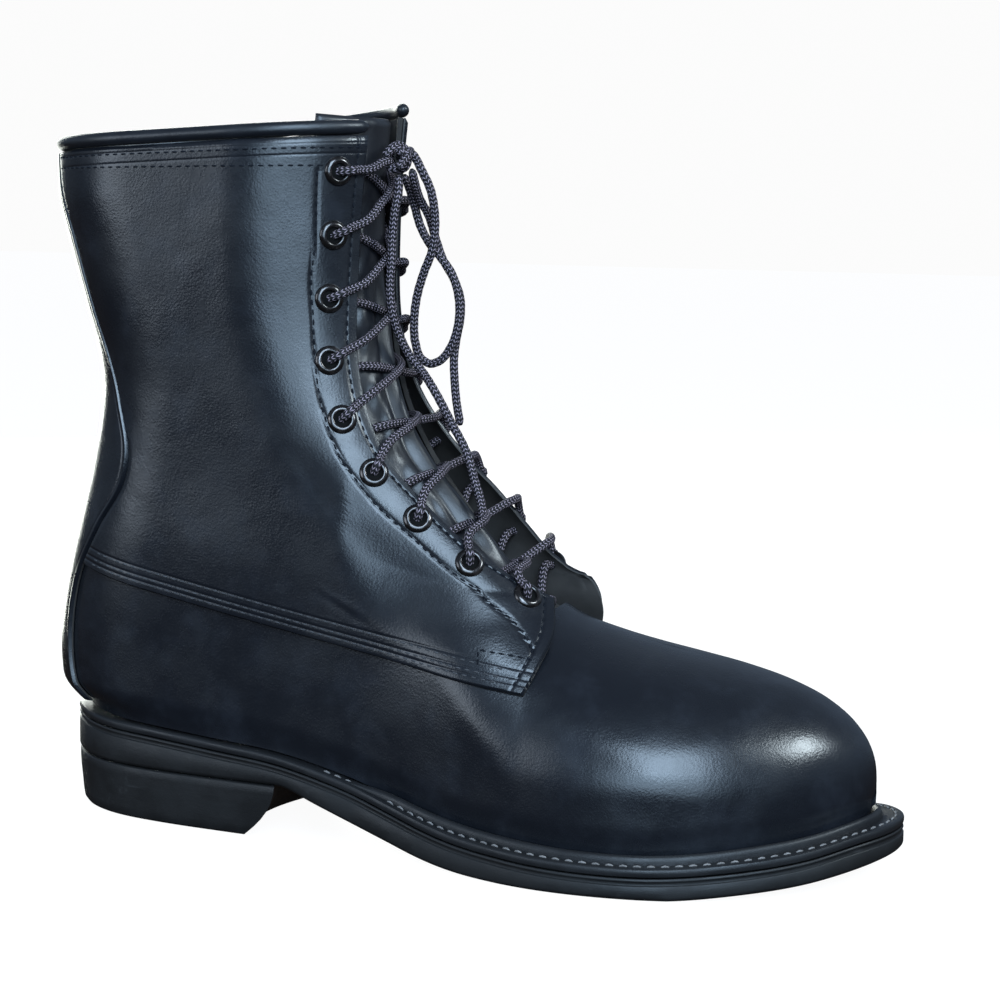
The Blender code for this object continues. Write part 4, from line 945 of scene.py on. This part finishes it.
def distance_to(points, line):
    """Distance from points to a chain of points."""
    best = np.full(points.shape[:-1], 1e9)
    for a, b in zip(line[:-1], line[1:]):
        d = b - a
        t = np.clip(((points - a) @ d) / (d @ d), 0, 1)
        best = np.minimum(best, np.linalg.norm(points - a - t[..., None] * d, axis=-1))
    return best


def stitches(line, out, pitch, length, radius, sink=0.35):
    """Short thread capsules along a line of points, partly sunk in, with sizes in millimetres."""
    pitch, length, radius = pitch * MM, length * MM, radius * MM
    way = way_along(line)
    count = max(1, int(round(way[-1] / pitch)))
    parts = []
    for k in range(count):
        at = (k + 0.5) / count * way[-1] + length * np.array([-0.5, -0.3, 0.0, 0.3, 0.5])
        path, lift = read_along(at, way, line), read_along(at, way, out)
        drop = np.array([-1.2, 0.1, 0.5, 0.1, -1.2]) + 0.5 - 2 * sink
        parts.append(tube_mesh(path + lift * (radius * drop)[:, None], radius, 6)[:2])
    return parts


def along_seam(side, up, first, last, count=70):
    c = np.linspace(first, last, count)
    r = np.array([row_at(side, k, up) for k in c])
    return on_quarter(side * c, r)


def along_front(side, back, first, last, count=90):
    r = np.linspace(first, last, count)
    c = np.array([col_at(side, k, back) for k in r])
    return on_quarter(side * c, r)


def along_side_view(side, places, count=90):
    spots = np.array([locate(side, x * MM, z * MM) for x, z in places])
    line, _ = dense(spots, 1.0, count)
    return on_quarter(line[:, 0], line[:, 1])


def eyelet_at(side, number):
    r = edge_row(side, EYELET_FIRST + EYELET_STEP * number)
    c = col_at(side, r, EYELET_BACK)
    return c, r, on_quarter(side * c, r)[0], quarter_normal(side, c, r)


def add_eyelet(side, number, materials):
    """A rolled ring seated on the quarter, its hole closed by a near-black plug that paints the shade
    inside the hole.
    """
    centre, out = eyelet_at(side, number)[2:]
    hole, rim = EYELET_HOLE / 2, EYELET_WIDTH / 2
    inner = ((0, -1.2), (0, 0.7), (0.15, 1.05), (0.5, 1.28), (1.0, 1.3))
    outer = ((0.9, 1.08), (0.35, 0.7), (0, 0.15), (0, -0.9))
    profile = [(hole + d * MM, z * MM) for d, z in inner] + [(rim - d * MM, z * MM) for d, z in outer]
    one = unit(np.cross(out, (0.0, 0.3, 1.0)))
    two = np.cross(out, one)
    sides, n = 40, len(profile)
    spokes = [math.cos(a) * one + math.sin(a) * two for a in 2 * math.pi * np.arange(sides) / sides]
    points = [centre + spoke * d + out * z for spoke in spokes for d, z in profile]
    here = np.arange(sides * n).reshape(sides, n)
    there = np.roll(here, -1, axis=0)
    faces = np.stack([here, there, np.roll(there, -1, axis=1), np.roll(here, -1, axis=1)], axis=-1)
    faces = faces.reshape(-1, 4).tolist()
    first = len(points)
    # a near-black plug fills the hole: painted shade for the dark inside of the eyelet
    wide, depths = hole + 0.1 * MM, (0.25 * MM, -0.5 * MM)
    points += [centre + spoke * wide + out * z for z in depths for spoke in spokes]
    index = [0] * len(faces) + [1] * (sides + 2)
    disc = list(range(first, first + sides))
    faces += [disc, [k + sides for k in disc][::-1]]
    faces += [face[::-1] for face in ring_faces(sides, first, first + sides)]
    name = f"{'lateral' if side < 0 else 'medial'}_{number + 1}"
    return add_mesh(f"ring_{name}", points, faces, materials, [f"eyelet_{name}"], 35, index)


# Laces
def way_at_row(r):
    return CORNER_WAY + (r - CORNER_TOP) / (TOP - CORNER_TOP) * (TOP_WAY + RIM_MIDDLE - CORNER_WAY)


def throat_way(side, number):
    return way_at_row(eyelet_at(side, number)[1])


def edge_rise(side, number):
    """The row where a lace from an eyelet goes over the quarter's edge, a little above the nearest."""
    _, r, centre, _ = eyelet_at(side, number)
    rows = np.linspace(r - 1, min(r + 2, TOP), 120)
    line = on_quarter(np.full(len(rows), side * float(EDGE)), rows)[0]
    near = rows[np.argmin(np.linalg.norm(line - centre, axis=1))]
    return min(float(near) + EDGE_CLIMB, TOP)


def run_over(side, number):
    """A lace out of an eyelet's hole, over its ring and over the quarter's edge."""
    c, r, centre, out = eyelet_at(side, number)
    half, over = LACE / 2, edge_rise(side, number) if number else r + 0.05

    def spot(way, rise):
        share = way / EYELET_BACK
        return on_quarter(side * mix(c, EDGE, share), mix(r, over, share), rise)[0]

    ring = EYELET_WIDTH / 2
    leaving = mix(centre, spot(ring - 1.6 * MM, 0), 0.42) + out * 1.3 * MM
    return [centre - out * 5.4 * MM, centre - out * 0.6 * MM, leaving,
            spot(ring - 1.2 * MM, EYELET_RISE + half * 0.85), spot(ring + 1.4 * MM, half * 1.05),
            spot(EYELET_BACK, half * 1.1)]


def crossing(side, number, lean):
    """The run across the throat, from over one quarter's edge to under the other."""
    high = throat_way(-side, number - 1)
    rest = LACE / 2 + GAP - WALL - TONGUE_GAP + CROSS_RISE
    gap = float(half_gap(np.interp(high, FRONT_WAY, FRONT[:, 1])))
    over = edge_rise(side, number)
    lift = 0.95 * float(flap(side * EDGE, over))
    low = way_at_row(over)
    near = front_point(mix(low, high, 0.22), side * gap * 0.56, rest + lean * 1.2 + CROSS_RISE + lift)
    centre = front_point(mix(low, high, 0.48), side * 1e-6, rest + lean)
    far = front_point(mix(low, high, 0.78), -side * (gap - FAR_END), -WALL - LACE * 0.35)
    under = front_point(mix(low, high, 0.90), -side * (gap + 3 * MM), -WALL - LACE * 0.55)
    return [near, centre, far, under]


def strand(side, material):
    """One half of the lace: from the lowest bar up through its eyelets to the knot."""
    way = 0.5 * (throat_way(-1, EYELETS - 1) + throat_way(1, EYELETS - 1)) + 0.002
    out = float(half_gap(np.interp(way, FRONT_WAY, FRONT[:, 1])))
    rise = LACE / 2 + GAP - WALL - TONGUE_GAP
    bar = ((1e-6, rise), (out - FAR_END, rise), (out + 3 * MM, -WALL - LACE * 0.55))
    route = [front_point(way, side * y, z) for y, z in bar]
    here = side
    for number in range(EYELETS - 1, 0, -1):
        route += run_over(here, number) + crossing(here, number, 1.7 * MM if here < 0 else -1.5 * MM)
        here = -here
    route += run_over(here, 0)
    knot = np.array(KNOT) * MM
    route += [mix(route[-1], knot, 0.55) + (0, 0, 0.6 * MM), knot + unit(route[-1] - knot) * 2.5 * MM]
    line, _ = dense(route, 1.0, 2400)
    part = "a" if side < 0 else "b"
    nodes = [f"lace_cross_{k}" for k in (range(1, 5) if side < 0 else range(5, 9))]
    nodes += ["lace_bar", "lace_tie_lateral"] if side < 0 else ["lace_tie_medial"]
    return add_tube(f"lace_strand_{part}", line, LACE / 2, material, nodes, 12, LACE_WEAVE)


def knot_tubes():
    """Wraps and arcs of the tied knot."""
    centre, tubes = np.array(KNOT) * MM, []
    for shift, radius, tilt, start in ((-1.9, 3.1, 0.25, 0.3), (1.7, 3.3, -0.3, 2.2)):
        a = start + np.linspace(0, 2 * math.pi * 0.97, 30)
        sine = radius * np.sin(a)
        ring = np.stack([radius * np.cos(a), shift + tilt * sine, 1.1 * sine], axis=1)
        tubes.append(centre + ring * MM)
    arc = ((-2.6, -5.5, 0.5), (-0.8, -3.4, 3.4), (0.6, 0.2, 4.9), (1.6, 3.2, 3.6), (2.2, 5.0, 0.2),
           (1.6, 4.0, -3.4))
    low = ((2.4, -4.6, -3.6), (3.2, -2.2, -1.0), (3.6, 0.6, 1.0), (3.0, 3.4, 2.6), (3.4, 5.2, 2.9))
    for points in (arc, low):
        tubes.append(centre + dense(points, 1.0, 40)[0] * MM)
    return tubes


def add_cords(material):
    routes = (("loop", LOOP_ROUTE, "lace_loop", 0.165, "knot"),
              ("end_long", END_1_ROUTE, "lace_end_1", 0.132, "bare"),
              ("end_short", END_2_ROUTE, "lace_end_2", 0.104, "bare"))
    parts = [tube_mesh(resample(path, 0.9 * MM), LACE / 2, 12, LACE_WEAVE) for path in knot_tubes()]
    knot = join_parts("knot_wraps", [p[:2] for p in parts], material, ["lace_knot"])
    layer = knot.data.uv_layers.new(name="UVMap")
    layer.data.foreach_set("uv", np.concatenate([np.array(p[2]).ravel() for p in parts]))
    for name, route, node, length, end in routes:
        line = dense(np.array(route) * MM, 1.0)[0]
        made = add_tube(f"lace_{name}", line, LACE / 2, material, [node], 14, LACE_WEAVE)


# Sole
def foot_ring(outline, heights, inset=0.0):
    after, before = np.roll(outline, -1, axis=0), np.roll(outline, 1, axis=0)
    along = unit(after - before)
    inward = np.stack([-along[:, 1], along[:, 0]], axis=1)
    moved = outline + inward * np.reshape(inset, (-1, 1))
    return np.column_stack([moved, heights(moved[:, 0])])


def stations(first, last, count=130):
    way = np.linspace(0, math.pi, count + 1)
    return first + (last - first) * (1 - np.cos(way)) / 2


def sole_outline():
    x = stations(SOLE_BACK, SOLE_BACK + SOLE_LENGTH)
    outer, inner = (np.column_stack([x, sole_edge(side, x)]) for side in (-1, 1))
    return np.concatenate([outer, inner[-2:0:-1]])


def feather_outline():
    z0 = float(sole_top(0.0)) + GAP
    x = stations(float(back_line(z0)), UPPER_TIP * LENGTH)
    z = sole_top(x) + GAP
    outer, inner = (np.column_stack([x, form_y(side, x, z)]) for side in (-1, 1))
    outer[[0, -1], 1] = inner[[0, -1], 1] = middle(x[[0, -1]], z[[0, -1]])
    ring = np.concatenate([outer, inner[-2:0:-1]])
    return foot_ring(ring, lambda at: 0 * at, tuck(ring[:, 0]))[:, :2]


def cap(count, first, flip):
    faces = []
    for i in range(count // 2):
        ring = [i, i + 1, (count - i - 1) % count, (count - i) % count]
        face = [first + n for n in dict.fromkeys(ring)]
        faces.append(face[::-1] if flip else face)
    return faces


def add_loft(name, rings, material, replaces, joined=False, angle=40):
    count, faces = len(rings[0]), []
    for r in range(len(rings) - 1 + joined):
        faces += ring_faces(count, r * count, (r + 1) % len(rings) * count)
    if not joined:
        faces += cap(count, 0, True) + cap(count, (len(rings) - 1) * count, False)
    return add_mesh(name, np.concatenate(rings), faces, material, replaces, angle)


def add_outsole(material):
    edge, feather = sole_outline(), feather_outline()

    def below(drop):
        return lambda x: sole_top(x) - WELT - WELT_GAP - drop * MM

    lower = ((0.0, 1.6), (0.35, 0.7), (0.9, 0.2), (1.6, 0.0))
    upper = ((2.7, 0.0), (2.45, 0.15), (2.25, 0.6), (1.7, 0.75), (1.15, 0.6), (0.95, 0.2), (0.7, 0.1),
             (0.25, 0.2), (0.0, 0.45))
    rings = [foot_ring(edge, lambda x, d=d: sole_under(x) + d * MM, i * MM) for d, i in lower]
    rings += [foot_ring(edge, below(d), i * MM) for d, i in upper]
    seat = (below(0.0), lambda x: sole_top(x) - GAP)
    rings += [foot_ring(feather, level, WELT_REACH + GAP) for level in seat]
    add_loft("outsole_rubber", rings, material, ["outsole"])


def add_welt(material):
    """A strip with a groove for its stitches, and a smooth bead against the leather."""
    edge, feather = sole_outline(), feather_outline()
    rings = [foot_ring(edge, lambda x, d=d: sole_top(x) - d * MM, i * MM) for d, i in (
        (3.0, 0.8), (2.75, 0.25), (1.9, 0.0), (0.9, 0.0), (0.3, 0.25), (0.0, 0.8), (-0.05, 1.6))]
    share = fade(feather[:, 0], 0.28 * LENGTH, 0.37 * LENGTH)
    for k in range(13):
        a = math.pi * k / 12
        off = SEAM_GAP + BEAD_WIDTH * (0.5 + 0.5 * math.cos(a))
        rise = BEAD_HEIGHT * math.sin(a) ** 0.8 - (0.35 * MM if k in (0, 12) else 0)

        def level(x, rise=rise):
            return sole_top(x) + rise * fade(x, 0.39 * LENGTH, 0.47 * LENGTH)

        rings.append(foot_ring(feather, level, mix((1.0 + 0.3 * k) * MM, -off, share)))
    rings += [foot_ring(feather, level, WELT_REACH) for level in (sole_top, lambda x: sole_top(x) - WELT)]
    return add_loft("welt_strip", rings, material, ["welt"], True)


def add_welt_stitches(material):
    edge = sole_outline()
    ring = foot_ring(edge, sole_top, 2.9 * MM)
    keep = ring[:, 0] > 0.36 * LENGTH
    order = np.roll(np.arange(len(ring)), -int(np.argmin(keep)) - 1)
    line = ring[[i for i in order if keep[i]]]
    start = int(np.argmax(np.linalg.norm(np.diff(line, axis=0), axis=1)))
    if np.linalg.norm(line[start + 1] - line[start]) > 0.02:
        line = np.concatenate([line[start + 1:], line[: start + 1]])
    up = np.tile((0.0, 0.0, 1.0), (len(line), 1))
    parts = stitches(line, up, 4.6, 3.1, 0.42, 0.25)
    return join_parts("welt_stitches", parts, material)


def heel_ring(height, inset):
    front = LENGTH * mix(HEEL_FRONT[0], HEEL_FRONT[1], float(round_end(height / HEEL_HEIGHT)) ** 2)
    way = np.linspace(0, 1, 45)
    x = SOLE_BACK + (front - SOLE_BACK) * (1 - np.cos(way * math.pi / 2)) + 0.0005
    x_in = x + inset * (1 - way) ** 2
    outer, inner = (np.column_stack([x_in, sole_edge(side, x) - side * inset]) for side in (-1, 1))
    outer[0, 1] = inner[0, 1] = 0.0
    across = np.linspace(0, 1, 24)[1:-1]
    bow = front - HEEL_CURVE * np.sin(math.pi * across)
    breast = np.column_stack([bow, mix(outer[-1, 1], inner[-1, 1], across)])
    ring = np.concatenate([outer, breast, inner[:0:-1]])
    return np.column_stack([ring, np.full(len(ring), height)])


def add_heel(material):
    levels = ((0.0, 3.0), (0.35, 2.1), (1.2, 1.5), (4.0, 1.1), (7.0, 0.9), (10.0, 0.65), (13.0, 0.4),
              (16.5, 0.25), (19.1, 0.2), (19.5, 0.45), (19.7, 0.8))
    rings = [heel_ring(z * MM, inset * MM) for z, inset in levels]
    count = len(rings[0])
    faces = [list(range(count))[::-1], [count * (len(rings) - 1) + i for i in range(count)]]
    for r in range(len(rings) - 1):
        faces += ring_faces(count, r * count, (r + 1) * count)
    return add_mesh("heel_block", np.concatenate(rings), faces, material, ["heel"], 40)


# Collar and tongue
def add_binding(material):
    s = SIGNED[np.abs(SIGNED) <= EDGE]
    r = np.full(len(s), float(TOP))
    out = unit(between(NORMAL, s, r))
    centre = (OVERLAY + GAP - WALL) / 2
    highest = np.abs(out[:, 2]) * (OVERLAY + WALL) / 2
    path = between(FORM, s, r) + out * centre
    path[:, 2] += BINDING / 2 + GAP + highest
    add_tube("collar_roll", path, BINDING / 2, material, ["collar_binding"], 20, step=2.0 * MM)


def tongue_rise(way, y):
    """Folds of the soft tongue: a rolled fold along its middle and wrinkles beside it."""
    z = np.interp(way, FRONT_WAY, FRONT[:, 1]) / MM
    y = y / MM
    spine = np.interp(z, (105, 130, 160, 185, 200), (-3.5, -4.0, 0.0, 3.0, 4.0))
    fold = 2.4 * np.exp(-(((y - spine) / 3.2) ** 2)) * fade(z, 92, 112) * (1 - fade(z, 180, 205))
    lip = -0.9 * np.exp(-(((y - spine + 6.0) / 1.6) ** 2)) * fade(z, 95, 115) * (1 - fade(z, 185, 205))
    wave = np.sin(z / 4.3 + 0.35 * y) * np.exp(-(((y + 12) / 5) ** 2)) * 0.7 * fade(z, 80, 110)
    small = 0.4 * np.sin(z / 2.1 - 0.5 * y + 1.3 * np.sin(y / 3)) * np.exp(-(((y + 15) / 4) ** 2))
    sides = -1.4 * fade(np.abs(y), 10, 17)
    return (fold + lip + wave + small + sides) * MM


def add_tongue(materials):
    ways = np.linspace(CORNER_WAY - 0.022, TOP_WAY + 0.010, 150)
    across = np.linspace(-0.5, 0.5, 80) * TONGUE_WIDTH
    outer, inner = np.zeros((len(across), len(ways), 3)), np.zeros((len(across), len(ways), 3))
    for j, way in enumerate(ways):
        for i, y in enumerate(across):
            near = min(TONGUE_WIDTH / 2 - abs(y), ways[-1] - way)
            soft = TONGUE * 0.45 * (1 - float(round_end(near / (1.6 * MM))))
            base = -WALL - TONGUE_GAP
            outer[i, j] = front_point(way, y, base + float(tongue_rise(way, y)) - soft)
            inner[i, j] = front_point(way, y, base - TONGUE - 1.4 * MM + soft)
    return sheet("tongue_leather", outer, inner, materials, ["tongue"], 60)


# Light
def area(name, place, target, size, power, colour):
    data = bpy.data.lights.new(name, "AREA")
    data.shape, data.size, data.size_y = "RECTANGLE", size[0], size[1]
    data.energy, data.color = power, colour
    made = bpy.data.objects.new(name, data)
    bpy.context.scene.collection.objects.link(made)
    made.location = place
    made.rotation_euler = (Vector(target) - Vector(place)).to_track_quat("-Z", "Y").to_euler()


def add_light():
    world = bpy.data.worlds.new("studio")
    bpy.context.scene.world = world
    world.use_nodes = True
    tree = world.node_tree
    back = tree.nodes["Background"]
    place = tree.nodes.new("ShaderNodeTexCoord")
    split = tree.nodes.new("ShaderNodeSeparateXYZ")
    ramp = tree.nodes.new("ShaderNodeValToRGB")
    level = tree.nodes.new("ShaderNodeMapRange")
    tree.links.new(place.outputs["Generated"], split.inputs[0])
    tree.links.new(split.outputs[2], level.inputs[0])
    level.inputs["From Min"].default_value, level.inputs["From Max"].default_value = -1.0, 1.0
    tree.links.new(level.outputs[0], ramp.inputs[0])
    stops = ((0.0, (0.014, 0.010, 0.008)), (0.43, (0.035, 0.027, 0.022)), (0.49, (0.10, 0.12, 0.145)),
             (0.60, (0.20, 0.27, 0.37)), (0.78, (0.17, 0.22, 0.30)), (1.0, (0.11, 0.13, 0.17)))
    while len(ramp.color_ramp.elements) < len(stops):
        ramp.color_ramp.elements.new(0.5)
    for element, (spot, colour) in zip(ramp.color_ramp.elements, stops):
        element.position, element.color = spot, (*colour, 1)
    seen = tree.nodes.new("ShaderNodeLightPath")
    white = tree.nodes.new("ShaderNodeMix")
    white.data_type = "RGBA"
    tree.links.new(seen.outputs["Is Camera Ray"], white.inputs[0])
    tree.links.new(ramp.outputs[0], white.inputs[6])
    white.inputs[7].default_value = (0.97, 0.97, 0.97, 1)
    tree.links.new(white.outputs[2], back.inputs["Color"])
    area("window", (0.75, -1.35, 1.15), (0.02, 0.0, 0.12), (1.0, 1.1), 42, (0.58, 0.78, 1.0))
    area("low_window", (0.62, -1.42, 0.34), (0.0, 0.0, 0.12), (1.3, 0.66), 14, (0.55, 0.77, 1.0))
    area("toe_light", (1.35, 0.02, 0.98), (0.13, 0.0, 0.05), (0.42, 0.42), 15, (0.80, 0.93, 1.0))
    area("left", (-1.2, -1.25, 0.50), (0.0, 0.0, 0.12), (0.9, 0.9), 9, (0.76, 0.87, 1.0))
    area("behind", (-0.85, 1.05, 0.28), (-0.13, 0.0, 0.14), (0.8, 0.9), 22, (0.95, 1.0, 0.93))


def add_floor():
    data = bpy.data.meshes.new("floor")
    reach = 6.0
    corners = ((-1, -1), (1, -1), (1, 1), (-1, 1))
    data.from_pydata([(reach * x, reach * y, 0) for x, y in corners], [], [[0, 1, 2, 3]])
    n = Nodes("floor_paint")
    n.bump(n.grain(0.00002, 260.0))
    n.set(rough=0.8, gloss=0.2, colour=n.blend(n.noise(3.0), (0.10, 0.10, 0.102), (0.11, 0.11, 0.112)))
    n.shader.inputs["Emission Color"].default_value = (1.0, 1.0, 1.0, 1)
    n.shader.inputs["Emission Strength"].default_value = 0.95
    data.materials.append(n.made)
    made = bpy.data.objects.new("floor", data)
    bpy.context.scene.collection.objects.link(made)
    made.visible_glossy = made.visible_diffuse = False


def main():
    add_camera()
    lace = braid("lace_braid")
    add_cords(lace)
    grooves = [("seam", SEAM_ROWS, 0.5, 0.00016), ("front", (FRONT_ROW,), 0.6, 0.0002),
               ("stay", (0.0,), 0.9, 0.0004), ("top", COLLAR_ROWS, 0.45, 0.00010)]
    skin = leather("boot_leather")
    over = leather("quarter_skin", grooves)
    stay_skin = leather("backstay_skin", [("front", (2.0,), 0.6, 0.00022), ("back", (2.0,), 0.6, 0.00022)])
    lining = plain("lining", (0.020, 0.017, 0.015), 0.75)
    cut = plain("cut_edge", (0.018, 0.015, 0.013), 0.7, 0.3, 0.00012, 1400.0)
    # a paler copy of cut_edge, used only on the inner quarter's cut edge
    pale_cut = plain("paler_cut_edge", (0.035, 0.033, 0.032), 0.8, 0.3, 0.00018, 1400.0)
    thread = plain("thread", (0.005, 0.006, 0.009), 0.85, 0.15, 0.00005, 3000.0)
    # the seam rows use the same black thread as the other rows, made paler as a painted highlight of light
    # caught on the stitches
    seam_thread_painted_sheen = plain("seam_thread_painted_sheen", (0.040, 0.040, 0.043), 0.8, 0.25, 0.00005, 3000.0)
    pale = plain("pale_thread", (0.13, 0.12, 0.115), 0.75, 0.3, 0.00005, 3000.0)
    # near-black fill of the eyelet holes: painted shade for the dark inside of a hole
    hole = plain("eyelet_hole_painted_shade", (0.003, 0.003, 0.003), 0.9, 0.1)
    ring = enamel("eyelet_enamel")

    for side in (-1, 1):
        strand(side, lace)
    add_upper([skin, lining, cut])
    rows = ROWS[ROWS >= COUNTER]
    for side, word in ((-1, "lateral"), (1, "medial")):
        s = SIGNED[(SIGNED * side >= STAY) & (SIGNED * side <= EDGE)]
        skins = [over, lining, cut if side < 0 else pale_cut]
        name = f"quarter_{word}"
        made, outer = add_plate(f"{name}_leather", s, rows, lambda c, q: GAP + flap(c, q), OVERLAY, skins,
                                [name], QUARTER_CREASES)
        row, out = along_side_view(side, EYESTAY)
        attribute(made, "stay", doubled(distance_to(outer, row)) / MM)
        parts = stitches(row, out, 3.4, 2.5, 0.36)
        rows_of_three = []
        for up in SEAM_ROWS:
            line, out = along_seam(side, up * MM, 3.25, 10.55)
            rows_of_three += stitches(line, out, 3.4, 2.3, 0.33)
        join_parts(f"seam_stitches_{word}", rows_of_three, seam_thread_painted_sheen)
        for box in BOXES:
            line, out = along_side_view(side, box, 24)
            parts += stitches(line, out, 3.0, 2.2, 0.36)
        line, out = along_front(side, FRONT_ROW * MM, 5.25, 18.9)
        parts += stitches(line, out, 3.4, 2.4, 0.34)
        for down in COLLAR_ROWS:
            c = np.linspace(STAY + 0.1, 10.9, 60)
            line, out = on_quarter(side * c, np.full(len(c), TOP - down / LATTICE_ROW))
            parts += stitches(line, out, 3.4, 2.4, 0.34)
        join_parts(f"stitches_{word}", parts, thread)
        for number in range(EYELETS):
            add_eyelet(side, number, [ring, hole])

    s = SIGNED[np.abs(SIGNED) <= STAY]
    rows = np.concatenate([[0.45], ROWS[ROWS > 0.5]])
    add_plate("backstay_strip", s, rows, lambda c, q: GAP + 0 * c, BACKSTAY, [stay_skin, lining, cut],
              ["backstay"])
    add_binding(leather("binding_leather", (), 1.0, (0.34, 0.46)))
    add_tongue([leather("tongue_skin", (), 0.8, (0.30, 0.44), (0.010, 0.010, 0.012)), lining, cut])
    add_outsole(rubber("outsole_compound"))
    add_heel(rubber("heel_compound", scuffs=0.6))
    add_welt(rubber("welt_compound", (0.011, 0.011, 0.012), 0.42, 0.3))
    add_welt_stitches(pale)
    board = plain("insole_skin", (0.035, 0.027, 0.022), 0.7, 0.3, 0.00006)
    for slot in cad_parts["insole"].material_slots:
        slot.material = board

    add_light()
    add_floor()
    bpy.context.scene.view_settings.view_transform = "Standard"


main()
